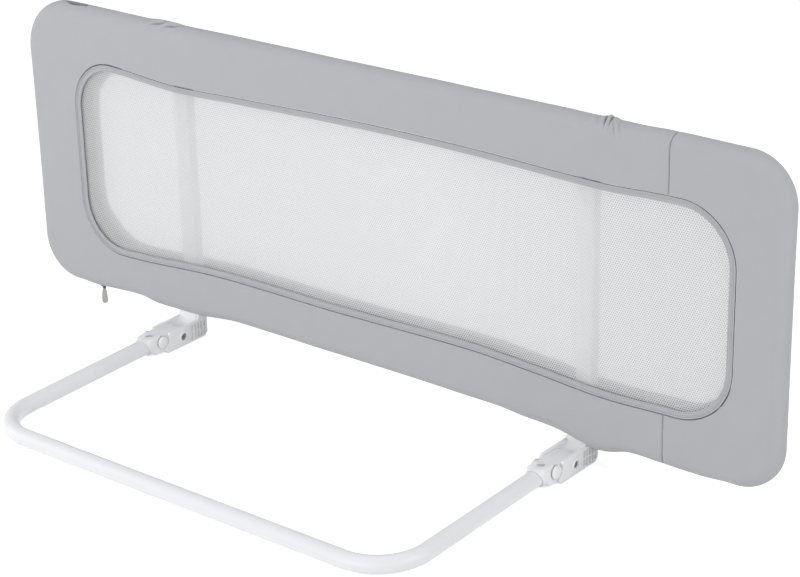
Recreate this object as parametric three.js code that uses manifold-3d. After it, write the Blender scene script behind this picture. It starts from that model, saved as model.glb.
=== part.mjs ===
// Folding bed guard rail: a fabric-covered fence panel that stands on a U-shaped base tube.
// The base goes under the mattress. Two moulded hinges let the panel fold flat over the base.
// Millimetres, +Z up. X runs along the rail, the base reaches towards -Y, and the floor is Z = 0.

import * as THREE from "three";
import { mergeVertices } from "three/addons/utils/BufferGeometryUtils.js";
import Module from "manifold-3d";

const wasm = await Module();
wasm.setup();

// Panel and its cover
const panelLength = 1200;
const panelHeight = 412;
const panelThickness = 32;
const panelCornerRadius = 75;
const coverWall = 1.5;
const coverClearance = 0.5;
const seamSetback = 153;
const seamGap = 0.3;

// Hem under the panel: pulled up between the posts, and hanging lower just outside each post
const waistRise = 7;
const waistInnerSetback = 110;
const waistOuterSetback = 36;
const hemBulge = 6;
const hemBulgeOffset = 26;
const hemBulgeReach = 45;

// Windows, their binding and the mesh sheets
const windowLeftSetback = 90;
const windowRightSetback = 61;
const windowCornerRadius = 75;
const windowTopShares = [
  [-1, 0.832],
  [-0.8, 0.822],
  [-0.62, 0.808],
  [-0.42, 0.817],
  [0, 0.834],
  [0.32, 0.835],
  [0.66, 0.824],
  [0.83, 0.833],
  [1, 0.832],
];
const windowBottomShares = [
  [-1, 0.148],
  [-0.8, 0.153],
  [-0.5, 0.177],
  [-0.1, 0.178],
  [0.3, 0.187],
  [0.48, 0.176],
  [0.67, 0.16],
  [0.84, 0.166],
  [1, 0.17],
];
const bindingWidth = 10;
const bindingLap = 5;
const meshThickness = 0.6;

// Frame tubes inside the cover
const postShare = 0.27;
const railWall = 1.2;
const hubHalfLength = 25;
const hubSpigotLength = 32;
const uprightWidth = 25;
const uprightDepth = 15;
const uprightWall = 1.2;
const uprightCorner = 3;
const teeSpigotLength = 40;

// Base tube
const tubeRadius = 11;
const tubeWall = 1.2;
const baseReach = 378;
const baseBendRadius = 66;

// Hinge knuckle on the base tube
const collarRadius = 13.5;
const collarMouthSetback = 114;
const collarEndSetback = 94;
const knuckleHalfWidth = 13.5;
const knuckleTop = 12;
const knuckleEdge = 0.8;
const tubeEndSetback = 82.3;
const socketFloor = 0.3;

// Fold pivot
const pivotSetback = 40;
const pivotDrop = 1;
const tongueRadius = 11.3;
const boltRadius = 3;
const boltHeadRadius = 5.2;
const boltHeadHeight = 2.3;
const boltSocketRadius = 2.1;
const boltSocketDepth = 1.4;
const nutRadius = 5.2;
const nutHeight = 1.6;
const nutRecess = 1.2;

// Release buttons on the two sides of each knuckle
const releaseSetback = 77.2;
const releaseRise = 3.4;
const releaseCapRadius = 8.4;
const releaseStemRadius = 3.4;
const releaseTravel = 2.4;
const releaseEdge = 0.8;
const releaseStemReach = 5.6;
const releaseWebHalf = 1;
const releaseSpringRadius = 2.5;
const releaseSpringWire = 0.35;
const releaseSpringTurns = 4;

// Spring button that holds the base tube in the knuckle
const snapSetback = 87.5;
const snapRadius = 4;
const snapHoleRadius = 5;
const snapTop = 11.8;
const snapTravel = 2.6;
const snapFlangeRadius = 5.4;
const snapFlangeHeight = 1.2;
const snapRingWidth = 1.4;
const snapRingHeight = 0.6;
const snapSpringThickness = 0.8;
const snapSpringWidth = 6;
const snapSpringLength = 26;
const snapSpringRise = 3;

// Fork bracket that carries the panel
const forkHalfWidth = 18;
const forkDepth = 14.5;
const forkWallTop = 12.5;
const forkHookSetback = 73.5;
const forkHookDrop = 11.5;
const forkFloor = 1.9;
const forkChamfer = 5;
const rampSetback = 28;
const rampStart = 4;
const rampPeak = 22;
const neckTop = 26;
const neckCorner = 2;
const spigotLength = 46;
const bossRadius = 8.3;
const bossHeight = 0.6;
const pocketDepth = 3;
const pocketRib = 1.6;
const pocketColumns = 5;
const pocketRows = 2;
const pocketFieldFront = 24;
const pocketMargin = 3;

// Panel screws
const screwRadius = 1.5;
const screwHeadRadius = 3.2;
const screwHeadHeight = 1.6;
const screwDepth = 9;
const postScrewRadius = 2;
const postScrewHeadRadius = 3.8;
const postScrewHeadHeight = 2;
const postScrewDepth = 14;

// Zip round the left end of the cover
const zipBottomSetback = 122;
const zipTopSetback = 100;
const zipHalfWidth = 2.8;
const sliderSetback = 102;
const sliderLength = 10;
const sliderWidth = 7.6;
const sliderHeight = 2.8;
const sliderNoseShare = 0.67;
const bridgeBar = 1.2;
const bridgeThickness = 1.6;
const pullLength = 23.5;
const pullWidth = 8.6;
const pullThickness = 1.3;
const pullEyeRadius = 2.6;
const pullHoleRadius = 1.4;
const pullEyeAngle = 0.63;

// Shared fits, and how far a cut runs past what it cuts
const fitGap = 0.3;
const overrun = 2;
const panelRise = 17.4;

// Rounding: steps in a bend, in a small corner and along the hem's bulge, and sides of the round bars
const bendSteps = 7;
const cornerSteps = 2;
const hemSteps = 8;
const waistSteps = 4;
const windowSteps = 12;
const tubeSides = 16;
const rodSides = 22;
const smallRodSides = 12;
const boltSides = 8;

// Places that follow from the sizes
const panelRadius = panelThickness / 2;
const railRadius = panelRadius - coverWall - coverClearance;
const panelBottom = panelRise;
const panelTop = panelRise + panelHeight;
const railBottom = panelBottom + waistRise + panelRadius;
const railTop = panelTop - panelRadius;
const postReach = panelLength * postShare;
const seamReach = panelLength / 2 - seamSetback;
const windowLeftReach = panelLength / 2 - windowLeftSetback;
const windowRightReach = panelLength / 2 - windowRightSetback;
const zipBottomReach = panelLength / 2 - zipBottomSetback;
const zipTopReach = panelLength / 2 - zipTopSetback;
const sliderReach = panelLength / 2 - sliderSetback;
const bridgeDrop = pullEyeRadius + bridgeBar + fitGap;
const pullPivotZ = panelBottom - sliderHeight - bridgeDrop + bridgeBar / 2;
const hubReach = postReach - hubHalfLength - fitGap;
const hubReachOut = hubHalfLength + hubSpigotLength;
const bowReach = postReach + hubHalfLength + fitGap;
const spigotRadius = railRadius - railWall - fitGap;
const postGap = uprightWall + fitGap;
const neckDepth = uprightDepth + coverClearance;
const neckHalfDepth = neckDepth / 2;
const hingeLift = forkDepth - tubeRadius;
const forkInner = knuckleHalfWidth + fitGap;
const headSeat = forkHalfWidth - boltHeadHeight - fitGap;
const nutSeat = forkHalfWidth - nutHeight - nutRecess;
const releaseCapInner = knuckleHalfWidth + fitGap;
const postScrewTip = railRadius - fitGap - postScrewDepth;
const snapFlangeTop = Math.sqrt((tubeRadius - tubeWall) ** 2 - snapFlangeRadius ** 2) - fitGap;
const panelSetY = (baseReach + tubeRadius - panelRadius) / 2;

// Colours and finishes
const finish = (color, roughness, metalness) =>
  new THREE.MeshStandardMaterial({ color, roughness, metalness });
const coverFabric = finish(0xb8babe, 0.9, 0);
const bindingFabric = finish(0xbcbec0, 0.85, 0);
const meshFabric = finish(0xe2e3e4, 0.8, 0);
const whitePaint = finish(0xf2f3f5, 0.35, 0.1);
const whitePlastic = finish(0xeceef0, 0.5, 0);
const brightSteel = finish(0xb9bcbe, 0.3, 0.9);
const springSteel = finish(0x8f9396, 0.35, 0.9);
const zipMetal = finish(0xaeafac, 0.4, 0.8);

// A closed geometry as a solid that can be joined and cut.
function solid(geometry) {
  const bare = geometry.index ? geometry.toNonIndexed() : geometry.clone();
  bare.deleteAttribute("normal");
  bare.deleteAttribute("uv");
  const merged = mergeVertices(bare, 1e-4);
  return new wasm.Manifold(
    new wasm.Mesh({
      numProp: 3,
      vertProperties: merged.attributes.position.array,
      triVerts: new Uint32Array(merged.index.array),
    }),
  );
}

// A solid as a geometry for a mesh.
function geometryOf(body) {
  const mesh = body.getMesh();
  const points = new Float32Array(mesh.numVert * 3);
  for (let i = 0; i < mesh.numVert; i++) {
    points.set(mesh.vertProperties.subarray(i * mesh.numProp, i * mesh.numProp + 3), i * 3);
  }
  const geometry = new THREE.BufferGeometry();
  geometry.setAttribute("position", new THREE.BufferAttribute(points, 3));
  geometry.setIndex(new THREE.BufferAttribute(mesh.triVerts, 1));
  const flat = geometry.toNonIndexed();
  flat.computeVertexNormals();
  return flat;
}

const join = (first, ...others) => others.reduce((sum, next) => sum.add(next), first);
const cut = (first, ...others) => others.reduce((rest, next) => rest.subtract(next), first);

// A box between two corners.
function block(low, high) {
  const size = high.map((value, i) => value - low[i]);
  const geometry = new THREE.BoxGeometry(...size);
  geometry.translate(...low.map((value, i) => value + size[i] / 2));
  return solid(geometry);
}

// A round rod along X, Y or Z, from one place on its axis to another.
function rod(axis, radius, from, to, centre, sides = rodSides) {
  const geometry = new THREE.CylinderGeometry(radius, radius, to - from, sides);
  if (axis === "x") geometry.rotateZ(-Math.PI / 2);
  if (axis === "z") geometry.rotateX(Math.PI / 2);
  const middle = (from + to) / 2;
  if (axis === "x") geometry.translate(middle, centre[0], centre[1]);
  if (axis === "y") geometry.translate(centre[0], middle, centre[1]);
  if (axis === "z") geometry.translate(centre[0], centre[1], middle);
  return solid(geometry);
}

// A revolved piece about an axis along X. The profile is [distance along X, radius], from tip to tip.
function turnedX(profile, centre, sides = rodSides) {
  const points = profile.map(([along, radius]) => new THREE.Vector2(radius, along));
  const geometry = new THREE.LatheGeometry(points, sides);
  geometry.rotateZ(-Math.PI / 2);
  geometry.translate(0, centre[0], centre[1]);
  return solid(geometry);
}

// An outline drawn in Y and Z, carried along X, with its edges bevelled where an edge size is given.
function extrudeX(shape, from, to, edge = 0) {
  const geometry = new THREE.ExtrudeGeometry(shape, {
    depth: to - from - 2 * edge,
    bevelEnabled: edge > 0,
    bevelThickness: edge,
    bevelSize: edge,
    bevelOffset: -edge,
    bevelSegments: 1,
    curveSegments: bendSteps,
  });
  geometry.translate(0, 0, from + edge);
  geometry.applyMatrix4(new THREE.Matrix4().set(0, 0, 1, 0, 1, 0, 0, 0, 0, 1, 0, 0, 0, 0, 0, 1));
  return solid(geometry);
}

// An outline drawn in X and Z, carried along Y.
function extrudeY(shape, from, to) {
  const geometry = new THREE.ExtrudeGeometry(shape, {
    depth: to - from,
    bevelEnabled: false,
    curveSegments: bendSteps,
  });
  geometry.rotateX(Math.PI / 2);
  geometry.translate(0, to, 0);
  return solid(geometry);
}

// An outline drawn in X and Y, carried along Z.
function extrudeZ(shape, from, to) {
  const geometry = new THREE.ExtrudeGeometry(shape, {
    depth: to - from,
    bevelEnabled: false,
    curveSegments: cornerSteps,
  });
  geometry.translate(0, 0, from);
  return solid(geometry);
}

// A rectangle with round corners about a centre.
function roundedRectangle(width, depth, corner, centreX = 0, centreY = 0) {
  const shape = new THREE.Shape();
  const x = width / 2 - corner;
  const y = depth / 2 - corner;
  shape.absarc(centreX + x, centreY + y, corner, 0, Math.PI / 2);
  shape.absarc(centreX - x, centreY + y, corner, Math.PI / 2, Math.PI);
  shape.absarc(centreX - x, centreY - y, corner, Math.PI, (3 * Math.PI) / 2);
  shape.absarc(centreX + x, centreY - y, corner, (3 * Math.PI) / 2, 2 * Math.PI);
  return shape;
}

// A closed skin over rings of equal count, from the first ring to the last, with flat ends.
// The flat ends follow the given outline of ring indices, seen along the direction of travel.
function loft(rings) {
  const count = rings[0].length;
  const points = rings.flat();
  const faces = [];
  for (let r = 0; r + 1 < rings.length; r++) {
    for (let i = 0; i < count; i++) {
      const a = r * count + i;
      const b = r * count + ((i + 1) % count);
      faces.push([a, b, b + count], [a, b + count, a + count]);
    }
  }
  const ends = [
    [0, false],
    [(rings.length - 1) * count, true],
  ];
  for (const [offset, forward] of ends) {
    const ring = rings[offset / count];
    for (const [a, b, c] of THREE.ShapeUtils.triangulateShape(flatten(ring), [])) {
      faces.push(forward ? [a, b, c].map((i) => i + offset) : [c, b, a].map((i) => i + offset));
    }
  }
  const geometry = new THREE.BufferGeometry();
  geometry.setAttribute("position", new THREE.Float32BufferAttribute(points.flatMap((p) => p.toArray()), 3));
  geometry.setIndex(faces.flat());
  return solid(geometry);
}

// A ring of 3-D points seen in its own plane, so that it turns anticlockwise.
function flatten(ring) {
  const centre = ring.reduce((sum, p) => sum.clone().add(p), new THREE.Vector3()).divideScalar(ring.length);
  const normal = new THREE.Vector3();
  ring.forEach((p, i) => {
    const next = ring[(i + 1) % ring.length];
    normal.add(p.clone().sub(centre).cross(next.clone().sub(centre)));
  });
  normal.normalize();
  const across = ring[0].clone().sub(centre).normalize();
  const up = normal.clone().cross(across);
  return ring.map((p) => {
    const arm = p.clone().sub(centre);
    return new THREE.Vector2(arm.dot(across), arm.dot(up));
  });
}

// The stations of a route through corners that are rounded to the given bend radius.
// A corner with no radius keeps a mitred bend.
function route(corners) {
  const stations = [];
  corners.forEach(({ at, bend }, i) => {
    const before = i > 0 ? at.clone().sub(corners[i - 1].at).normalize() : null;
    const after = i + 1 < corners.length ? corners[i + 1].at.clone().sub(at).normalize() : null;
    if (!before || !after) {
      stations.push({ at, along: before || after });
      return;
    }
    if (!bend) {
      stations.push({ at, along: before.clone().add(after).normalize() });
      return;
    }
    const turn = before.angleTo(after);
    const setback = bend * Math.tan(turn / 2);
    const start = at.clone().addScaledVector(before, -setback);
    const inward = after.clone().addScaledVector(before, -after.dot(before)).normalize();
    for (let k = 0; k <= bendSteps; k++) {
      const angle = (turn * k) / bendSteps;
      stations.push({
        at: start
          .clone()
          .addScaledVector(before, bend * Math.sin(angle))
          .addScaledVector(inward, bend * (1 - Math.cos(angle))),
        along: before.clone().multiplyScalar(Math.cos(angle)).addScaledVector(inward, Math.sin(angle)),
      });
    }
  });
  return stations;
}

// A round bar along a route's stations. Up is a direction that the route never runs along.
function bar(stations, radius, up, sides = tubeSides) {
  const rings = stations.map(({ at, along }) => {
    const side = along.clone().cross(up).normalize();
    const top = side.clone().cross(along);
    return Array.from({ length: sides }, (_, i) => {
      const angle = (2 * Math.PI * (i + 0.5)) / sides;
      return at
        .clone()
        .addScaledVector(side, radius * Math.cos(angle))
        .addScaledVector(top, -radius * Math.sin(angle));
    });
  });
  return loft(rings);
}

// The same route with its two ends moved out along it, for a bore that runs past a tube's ends.
function lengthened(stations, distance) {
  const first = stations[0];
  const last = stations[stations.length - 1];
  return [
    { at: first.at.clone().addScaledVector(first.along, -distance), along: first.along },
    ...stations.slice(1, -1),
    { at: last.at.clone().addScaledVector(last.along, distance), along: last.along },
  ];
}

// A tube along a route: a bar with a bore that is open at both ends.
function pipe(stations, radius, wall, up) {
  return cut(bar(stations, radius, up), bar(lengthened(stations, overrun), radius - wall, up));
}

// A straight tube along X.
function pipeX(radius, wall, from, to, z) {
  return cut(
    rod("x", radius, from, to, [0, z], tubeSides),
    rod("x", radius - wall, from - overrun, to + overrun, [0, z], tubeSides),
  );
}

// A closed loop in X and Z, with each point's outward direction.
function withNormals(points) {
  return points.map((point, i) => {
    const before = points[(i + points.length - 1) % points.length];
    const after = points[(i + 1) % points.length];
    const run = after.clone().sub(before).normalize();
    return { point, outward: new THREE.Vector2(run.y, -run.x) };
  });
}

const movedIn = (loop, distance) =>
  loop.map(({ point, outward }) => point.clone().addScaledVector(outward, -distance));

// Height of the hem above the cover's lowest straight edge at a place along the rail.
function hemRise(x) {
  const fromMiddle = Math.abs(x);
  const run = (postReach - waistOuterSetback - fromMiddle) / (waistInnerSetback - waistOuterSetback);
  const away = Math.min(Math.abs(fromMiddle - postReach - hemBulgeOffset) / hemBulgeReach, 1);
  const waist = Math.sin((Math.PI / 2) * Math.min(Math.max(run, 0), 1)) ** 2;
  return waistRise * waist - hemBulge * Math.cos((Math.PI / 2) * away) ** 2;
}

// Places along the hem, from the left, close together where it rises or hangs down.
function hemPlaces() {
  const spread = (from, to, steps) =>
    Array.from({ length: steps + 1 }, (_, k) => from + ((to - from) * k) / steps);
  const bulgeAt = postReach + hemBulgeOffset;
  const right = [
    ...spread(postReach - waistInnerSetback, postReach - waistOuterSetback, waistSteps),
    ...spread(bulgeAt - hemBulgeReach, bulgeAt + hemBulgeReach, hemSteps),
  ];
  return [...right.map((x) => -x).reverse(), ...right];
}

// The cover's outer outline, anticlockwise seen from the front, starting at the bottom left corner.
function panelOutline() {
  const points = [];
  const cornerX = panelLength / 2 - panelCornerRadius;
  const corner = (x, z, start) => {
    for (let k = 0; k <= bendSteps; k++) {
      const angle = start + ((Math.PI / 2) * k) / bendSteps;
      points.push(
        new THREE.Vector2(x + panelCornerRadius * Math.cos(angle), z + panelCornerRadius * Math.sin(angle)),
      );
    }
  };
  corner(-cornerX, panelBottom + panelCornerRadius, Math.PI);
  points.push(...hemPlaces().map((x) => new THREE.Vector2(x, panelBottom + hemRise(x))));
  corner(cornerX, panelBottom + panelCornerRadius, -Math.PI / 2);
  corner(cornerX, panelTop - panelCornerRadius, 0);
  corner(-cornerX, panelTop - panelCornerRadius, Math.PI / 2);
  return withNormals(points);
}

// The flat pillow that fills the cover's outline: round at its edge, flat front and back.
function pillow(outline, wall) {
  const radius = panelRadius - wall;
  const steps = 2 * bendSteps - 4;
  const rings = [];
  for (let k = 0; k <= steps; k++) {
    const angle = Math.PI * (k / steps - 0.5);
    const inset = panelRadius - radius * Math.cos(angle);
    rings.push(movedIn(outline, inset).map((p) => new THREE.Vector3(p.x, radius * Math.sin(angle), p.y)));
  }
  return loft(rings.map((ring) => ring.reverse()));
}

// A smooth height along a window, through a table of [share along, share of the panel's height].
function edgeHeight(shares, x) {
  const share = x < 0 ? x / windowLeftReach : x / windowRightReach;
  const curve = shares.map(([along, up]) => new THREE.Vector2(along, up));
  const last = curve.length - 1;
  let i = 0;
  while (i < last - 1 && share > curve[i + 1].x) i++;
  const [p0, p1, p2, p3] = [curve[Math.max(i - 1, 0)], curve[i], curve[i + 1], curve[Math.min(i + 2, last)]];
  const t = (share - p1.x) / (p2.x - p1.x);
  const run = p2.x - p1.x;
  const slopeIn = ((p2.y - p0.y) / (p2.x - p0.x)) * run;
  const slopeOut = ((p3.y - p1.y) / (p3.x - p1.x)) * run;
  const rise =
    (2 * t ** 3 - 3 * t ** 2 + 1) * p1.y +
    (t ** 3 - 2 * t ** 2 + t) * slopeIn +
    (-2 * t ** 3 + 3 * t ** 2) * p2.y +
    (t ** 3 - t ** 2) * slopeOut;
  return panelBottom + rise * panelHeight;
}

// A window's outer outline, anticlockwise seen from the front. Its long edges bow as pulled cloth does.
function windowOutline() {
  const left = windowLeftReach;
  const right = windowRightReach;
  const corner = windowCornerRadius;
  const top = (x) => edgeHeight(windowTopShares, x);
  const bottom = (x) => edgeHeight(windowBottomShares, x);
  const points = [];
  const bend = (end, direction, height, lift, forward) => {
    for (let k = 0; k <= bendSteps; k++) {
      const angle = (Math.PI / 2) * (forward ? k / bendSteps : 1 - k / bendSteps);
      const x = end + direction * corner * (1 - Math.cos(angle));
      points.push(new THREE.Vector2(x, height(x) - lift * corner * (1 - Math.sin(angle))));
    }
  };
  const edge = (height, from, to) => {
    for (let k = 1; k < windowSteps; k++) {
      const x = from + ((to - from) * k) / windowSteps;
      points.push(new THREE.Vector2(x, height(x)));
    }
  };
  bend(-left, 1, bottom, -1, true);
  edge(bottom, corner - left, right - corner);
  bend(right, -1, bottom, -1, false);
  bend(right, -1, top, 1, true);
  edge(top, right - corner, corner - left);
  bend(-left, 1, top, 1, false);
  return withNormals(points);
}

// A band of cloth that follows part of the cover's outline, between two depths below it.
function outlineBand(stations, halfWidth, outer, inner) {
  const rings = stations.map(({ point, outward }) => {
    const high = point.clone().addScaledVector(outward, -outer);
    const low = point.clone().addScaledVector(outward, -inner);
    return [
      new THREE.Vector3(high.x, -halfWidth, high.y),
      new THREE.Vector3(low.x, -halfWidth, low.y),
      new THREE.Vector3(low.x, halfWidth, low.y),
      new THREE.Vector3(high.x, halfWidth, high.y),
    ];
  });
  return loft(rings);
}

// The zip's run: from under the left end, round both of its corners, to the top.
function zipStations(outline, past) {
  const cornerX = panelLength / 2 - panelCornerRadius;
  const corner = (stations, z) =>
    stations.reverse().map(({ point }) => {
      const outward = point.clone().sub(new THREE.Vector2(-cornerX, z)).normalize();
      return { point, outward };
    });
  return [
    { point: new THREE.Vector2(past - zipBottomReach, panelBottom), outward: new THREE.Vector2(0, -1) },
    ...corner(outline.slice(0, bendSteps + 1), panelBottom + panelCornerRadius),
    ...corner(outline.slice(-(bendSteps + 1)), panelTop - panelCornerRadius),
    { point: new THREE.Vector2(past - zipTopReach, panelTop), outward: new THREE.Vector2(0, 1) },
  ];
}

// Base tube: one U-shaped steel tube whose two legs plug into the knuckles.
function makeBaseTube() {
  const level = -hingeLift;
  const bendStart = collarMouthSetback + overrun;
  const corners = [
    { at: new THREE.Vector3(-postReach, -tubeEndSetback, 0) },
    { at: new THREE.Vector3(-postReach, -bendStart, 0) },
    { at: new THREE.Vector3(-postReach, -baseReach, level), bend: baseBendRadius },
    { at: new THREE.Vector3(postReach, -baseReach, level), bend: baseBendRadius },
    { at: new THREE.Vector3(postReach, -bendStart, 0) },
    { at: new THREE.Vector3(postReach, -tubeEndSetback, 0) },
  ];
  const tube = pipe(route(corners), tubeRadius, tubeWall, new THREE.Vector3(0, 0, 1));
  const holes = [-postReach, postReach].map((x) =>
    rod("z", snapRadius + fitGap, 0, tubeRadius + overrun, [x, -snapSetback], smallRodSides),
  );
  return cut(tube, ...holes);
}

// Knuckle: the moulded end of each base leg. Its collar takes the tube, its tongue turns in the fork.
function makeKnuckle() {
  const profile = new THREE.Shape();
  const front = -(collarMouthSetback + collarEndSetback) / 2;
  const tongueTop = tongueRadius - pivotDrop;
  profile.moveTo(front - knuckleEdge, -tongueRadius);
  profile.lineTo(front + knuckleTop / 2, -tongueRadius - pivotDrop);
  profile.lineTo(-pivotSetback, -tongueRadius - pivotDrop);
  profile.absarc(-pivotSetback, -pivotDrop, tongueRadius, -Math.PI / 2, Math.PI / 2);
  profile.lineTo(-(releaseSetback + pivotSetback) / 2, tongueTop + knuckleEdge);
  profile.lineTo(-releaseSetback + releaseCapRadius, knuckleTop);
  profile.lineTo(front + knuckleTop / 2, knuckleTop);
  profile.lineTo(front - knuckleEdge, tongueTop);
  const body = join(
    extrudeX(profile, -knuckleHalfWidth, knuckleHalfWidth, knuckleEdge),
    rod("y", collarRadius, -collarMouthSetback, -collarEndSetback, [0, 0]),
    rod("z", snapHoleRadius + snapRingWidth, 0, knuckleTop + snapRingHeight, [0, -snapSetback]),
  );
  const release = [-releaseSetback, releaseRise];
  const pocket = releaseCapInner - releaseTravel - fitGap;
  const cuts = [
    rod("y", tubeRadius + fitGap, -collarMouthSetback - overrun, -tubeEndSetback + socketFloor, [0, 0]),
    rod("z", snapHoleRadius, 0, knuckleTop + overrun, [0, -snapSetback]),
    rod("x", boltRadius + fitGap, -forkHalfWidth, forkHalfWidth, [-pivotSetback, -pivotDrop]),
  ];
  for (const side of [-1, 1]) {
    const far = forkHalfWidth + overrun;
    const reach = (from, to) => (side > 0 ? [from, to] : [-to, -from]);
    cuts.push(rod("x", releaseCapRadius + fitGap, ...reach(pocket, far), release));
    cuts.push(rod("x", releaseStemRadius + fitGap, ...reach(releaseWebHalf, far), release, smallRodSides));
  }
  return cut(body, ...cuts);
}

// Release button: a round cap that stands out of the knuckle's side, with a stem that its spring pushes.
function makeReleaseButton(side) {
  const outer = forkHalfWidth;
  const stemEnd = releaseCapInner - releaseStemReach;
  const profile = [
    [stemEnd, 0],
    [stemEnd, releaseStemRadius],
    [releaseCapInner, releaseStemRadius],
    [releaseCapInner, releaseCapRadius],
    [outer - releaseEdge, releaseCapRadius],
    [outer, releaseCapRadius - 2 * releaseEdge],
    [outer, 0],
  ];
  const body = turnedX(profile, [-releaseSetback, releaseRise]);
  return side > 0 ? body : body.mirror([1, 0, 0]);
}

// Coil spring between a button's stem and the web in the middle of the knuckle.
function makeReleaseSpring(side) {
  const from = releaseWebHalf + fitGap + releaseSpringWire;
  const to = releaseCapInner - releaseStemReach - fitGap - releaseSpringWire;
  const steps = 8 * releaseSpringTurns;
  const stations = Array.from({ length: steps + 1 }, (_, i) => {
    const angle = (2 * Math.PI * i) / 8;
    const at = new THREE.Vector3(
      from + ((to - from) * i) / steps,
      releaseSpringRadius * Math.cos(angle) - releaseSetback,
      releaseSpringRadius * Math.sin(angle) + releaseRise,
    );
    const pitch = (to - from) / releaseSpringTurns;
    const along = new THREE.Vector3(
      pitch,
      -2 * Math.PI * releaseSpringRadius * Math.sin(angle),
      2 * Math.PI * releaseSpringRadius * Math.cos(angle),
    ).normalize();
    return { at, along };
  });
  const body = bar(stations, releaseSpringWire, new THREE.Vector3(1, 0, 0), 5);
  return side > 0 ? body : body.mirror([1, 0, 0]);
}

// Spring button in the tube's end: its head stands in the hole in the knuckle's top.
function makeSnapButton() {
  const low = snapFlangeTop - snapFlangeHeight;
  return join(
    rod("z", snapRadius, low, snapTop, [0, -snapSetback], smallRodSides),
    rod("z", snapFlangeRadius, low, snapFlangeTop, [0, -snapSetback], smallRodSides),
  );
}

// Leaf spring in the tube's end: one arm lifts the spring button, the other braces on the tube's floor.
function makeSnapSpring() {
  const half = snapSpringWidth / 2;
  const top = snapFlangeTop - snapFlangeHeight - fitGap;
  const floor = fitGap - Math.sqrt((tubeRadius - tubeWall) ** 2 - half ** 2);
  const low = floor + snapSpringRise;
  const back = snapFlangeRadius - snapSetback;
  const front = back - snapFlangeRadius;
  const turn = back - snapSpringLength;
  const strip = new THREE.Shape();
  strip.moveTo(back, top);
  strip.lineTo(turn, top);
  strip.lineTo(turn - snapSpringThickness, (top + low) / 2);
  strip.lineTo(turn, low);
  strip.lineTo(front, floor);
  strip.lineTo(front, floor + snapSpringThickness);
  strip.lineTo(turn + snapSpringThickness, low + snapSpringThickness);
  strip.lineTo(turn + snapSpringThickness, top - snapSpringThickness);
  strip.lineTo(back, top - snapSpringThickness);
  return extrudeX(strip, -half, half);
}

// Outline of a fork's side wall. Its front end is an arc about the pivot, and its hook clears the button.
function forkWallOutline() {
  const wall = new THREE.Shape();
  const pivotToButton = Math.hypot(releaseSetback - pivotSetback, releaseRise + pivotDrop);
  const lean = Math.atan2(releaseRise + pivotDrop, releaseSetback - pivotSetback);
  const hookRadius = releaseCapRadius + 2 * fitGap;
  const reach = pivotToButton - hookRadius;
  const topAngle = Math.PI - Math.asin((forkWallTop + pivotDrop) / reach);
  const hookEnd = -Math.acos((releaseSetback - forkHookSetback) / hookRadius);
  wall.moveTo(neckHalfDepth, forkChamfer - forkDepth);
  wall.lineTo(neckHalfDepth, rampPeak);
  wall.lineTo(-neckHalfDepth, rampPeak);
  wall.quadraticCurveTo(-neckHalfDepth, forkWallTop, -neckHalfDepth - forkChamfer, forkWallTop);
  wall.lineTo(reach * Math.cos(topAngle) - pivotSetback, forkWallTop);
  wall.absarc(-pivotSetback, -pivotDrop, reach, topAngle, Math.PI - lean);
  wall.absarc(-releaseSetback, releaseRise, hookRadius, -lean, hookEnd, true);
  wall.lineTo(-forkHookSetback, -forkHookDrop);
  wall.lineTo(-forkHookSetback + forkDepth - forkHookDrop, -forkDepth);
  wall.lineTo(neckHalfDepth - forkChamfer, -forkDepth);
  return wall;
}

// Outline of the fork's core between its walls: a saddle-shaped ramp from the tongue up to the neck.
function forkCoreOutline() {
  const core = new THREE.Shape();
  core.moveTo(neckHalfDepth, forkChamfer - forkDepth);
  core.lineTo(neckHalfDepth, neckTop);
  core.lineTo(-neckHalfDepth, neckTop);
  core.lineTo(-neckHalfDepth, rampPeak);
  core.quadraticCurveTo(-neckHalfDepth - forkChamfer, rampStart, -rampSetback, rampStart);
  core.lineTo(-rampSetback, -forkDepth);
  core.lineTo(neckHalfDepth - forkChamfer, -forkDepth);
  return core;
}

// The waffle of moulded pockets in the rear of a fork's side face.
function forkPockets(side) {
  const low = [-pocketFieldFront, pocketMargin - forkDepth];
  const high = [neckHalfDepth - pocketMargin, forkWallTop - pocketMargin];
  const pitchY = (high[0] - low[0] + pocketRib) / pocketColumns;
  const pitchZ = (high[1] - low[1] + pocketRib) / pocketRows;
  const x = [forkHalfWidth - pocketDepth, forkHalfWidth + overrun].map((value) => value * side);
  const pockets = [];
  for (let column = 0; column < pocketColumns; column++) {
    for (let row = 0; row < pocketRows; row++) {
      const y = low[0] + column * pitchY;
      const z = low[1] + row * pitchZ;
      pockets.push(
        block([Math.min(...x), y, z], [Math.max(...x), y + pitchY - pocketRib, z + pitchZ - pocketRib]),
      );
    }
  }
  return pockets;
}

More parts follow.
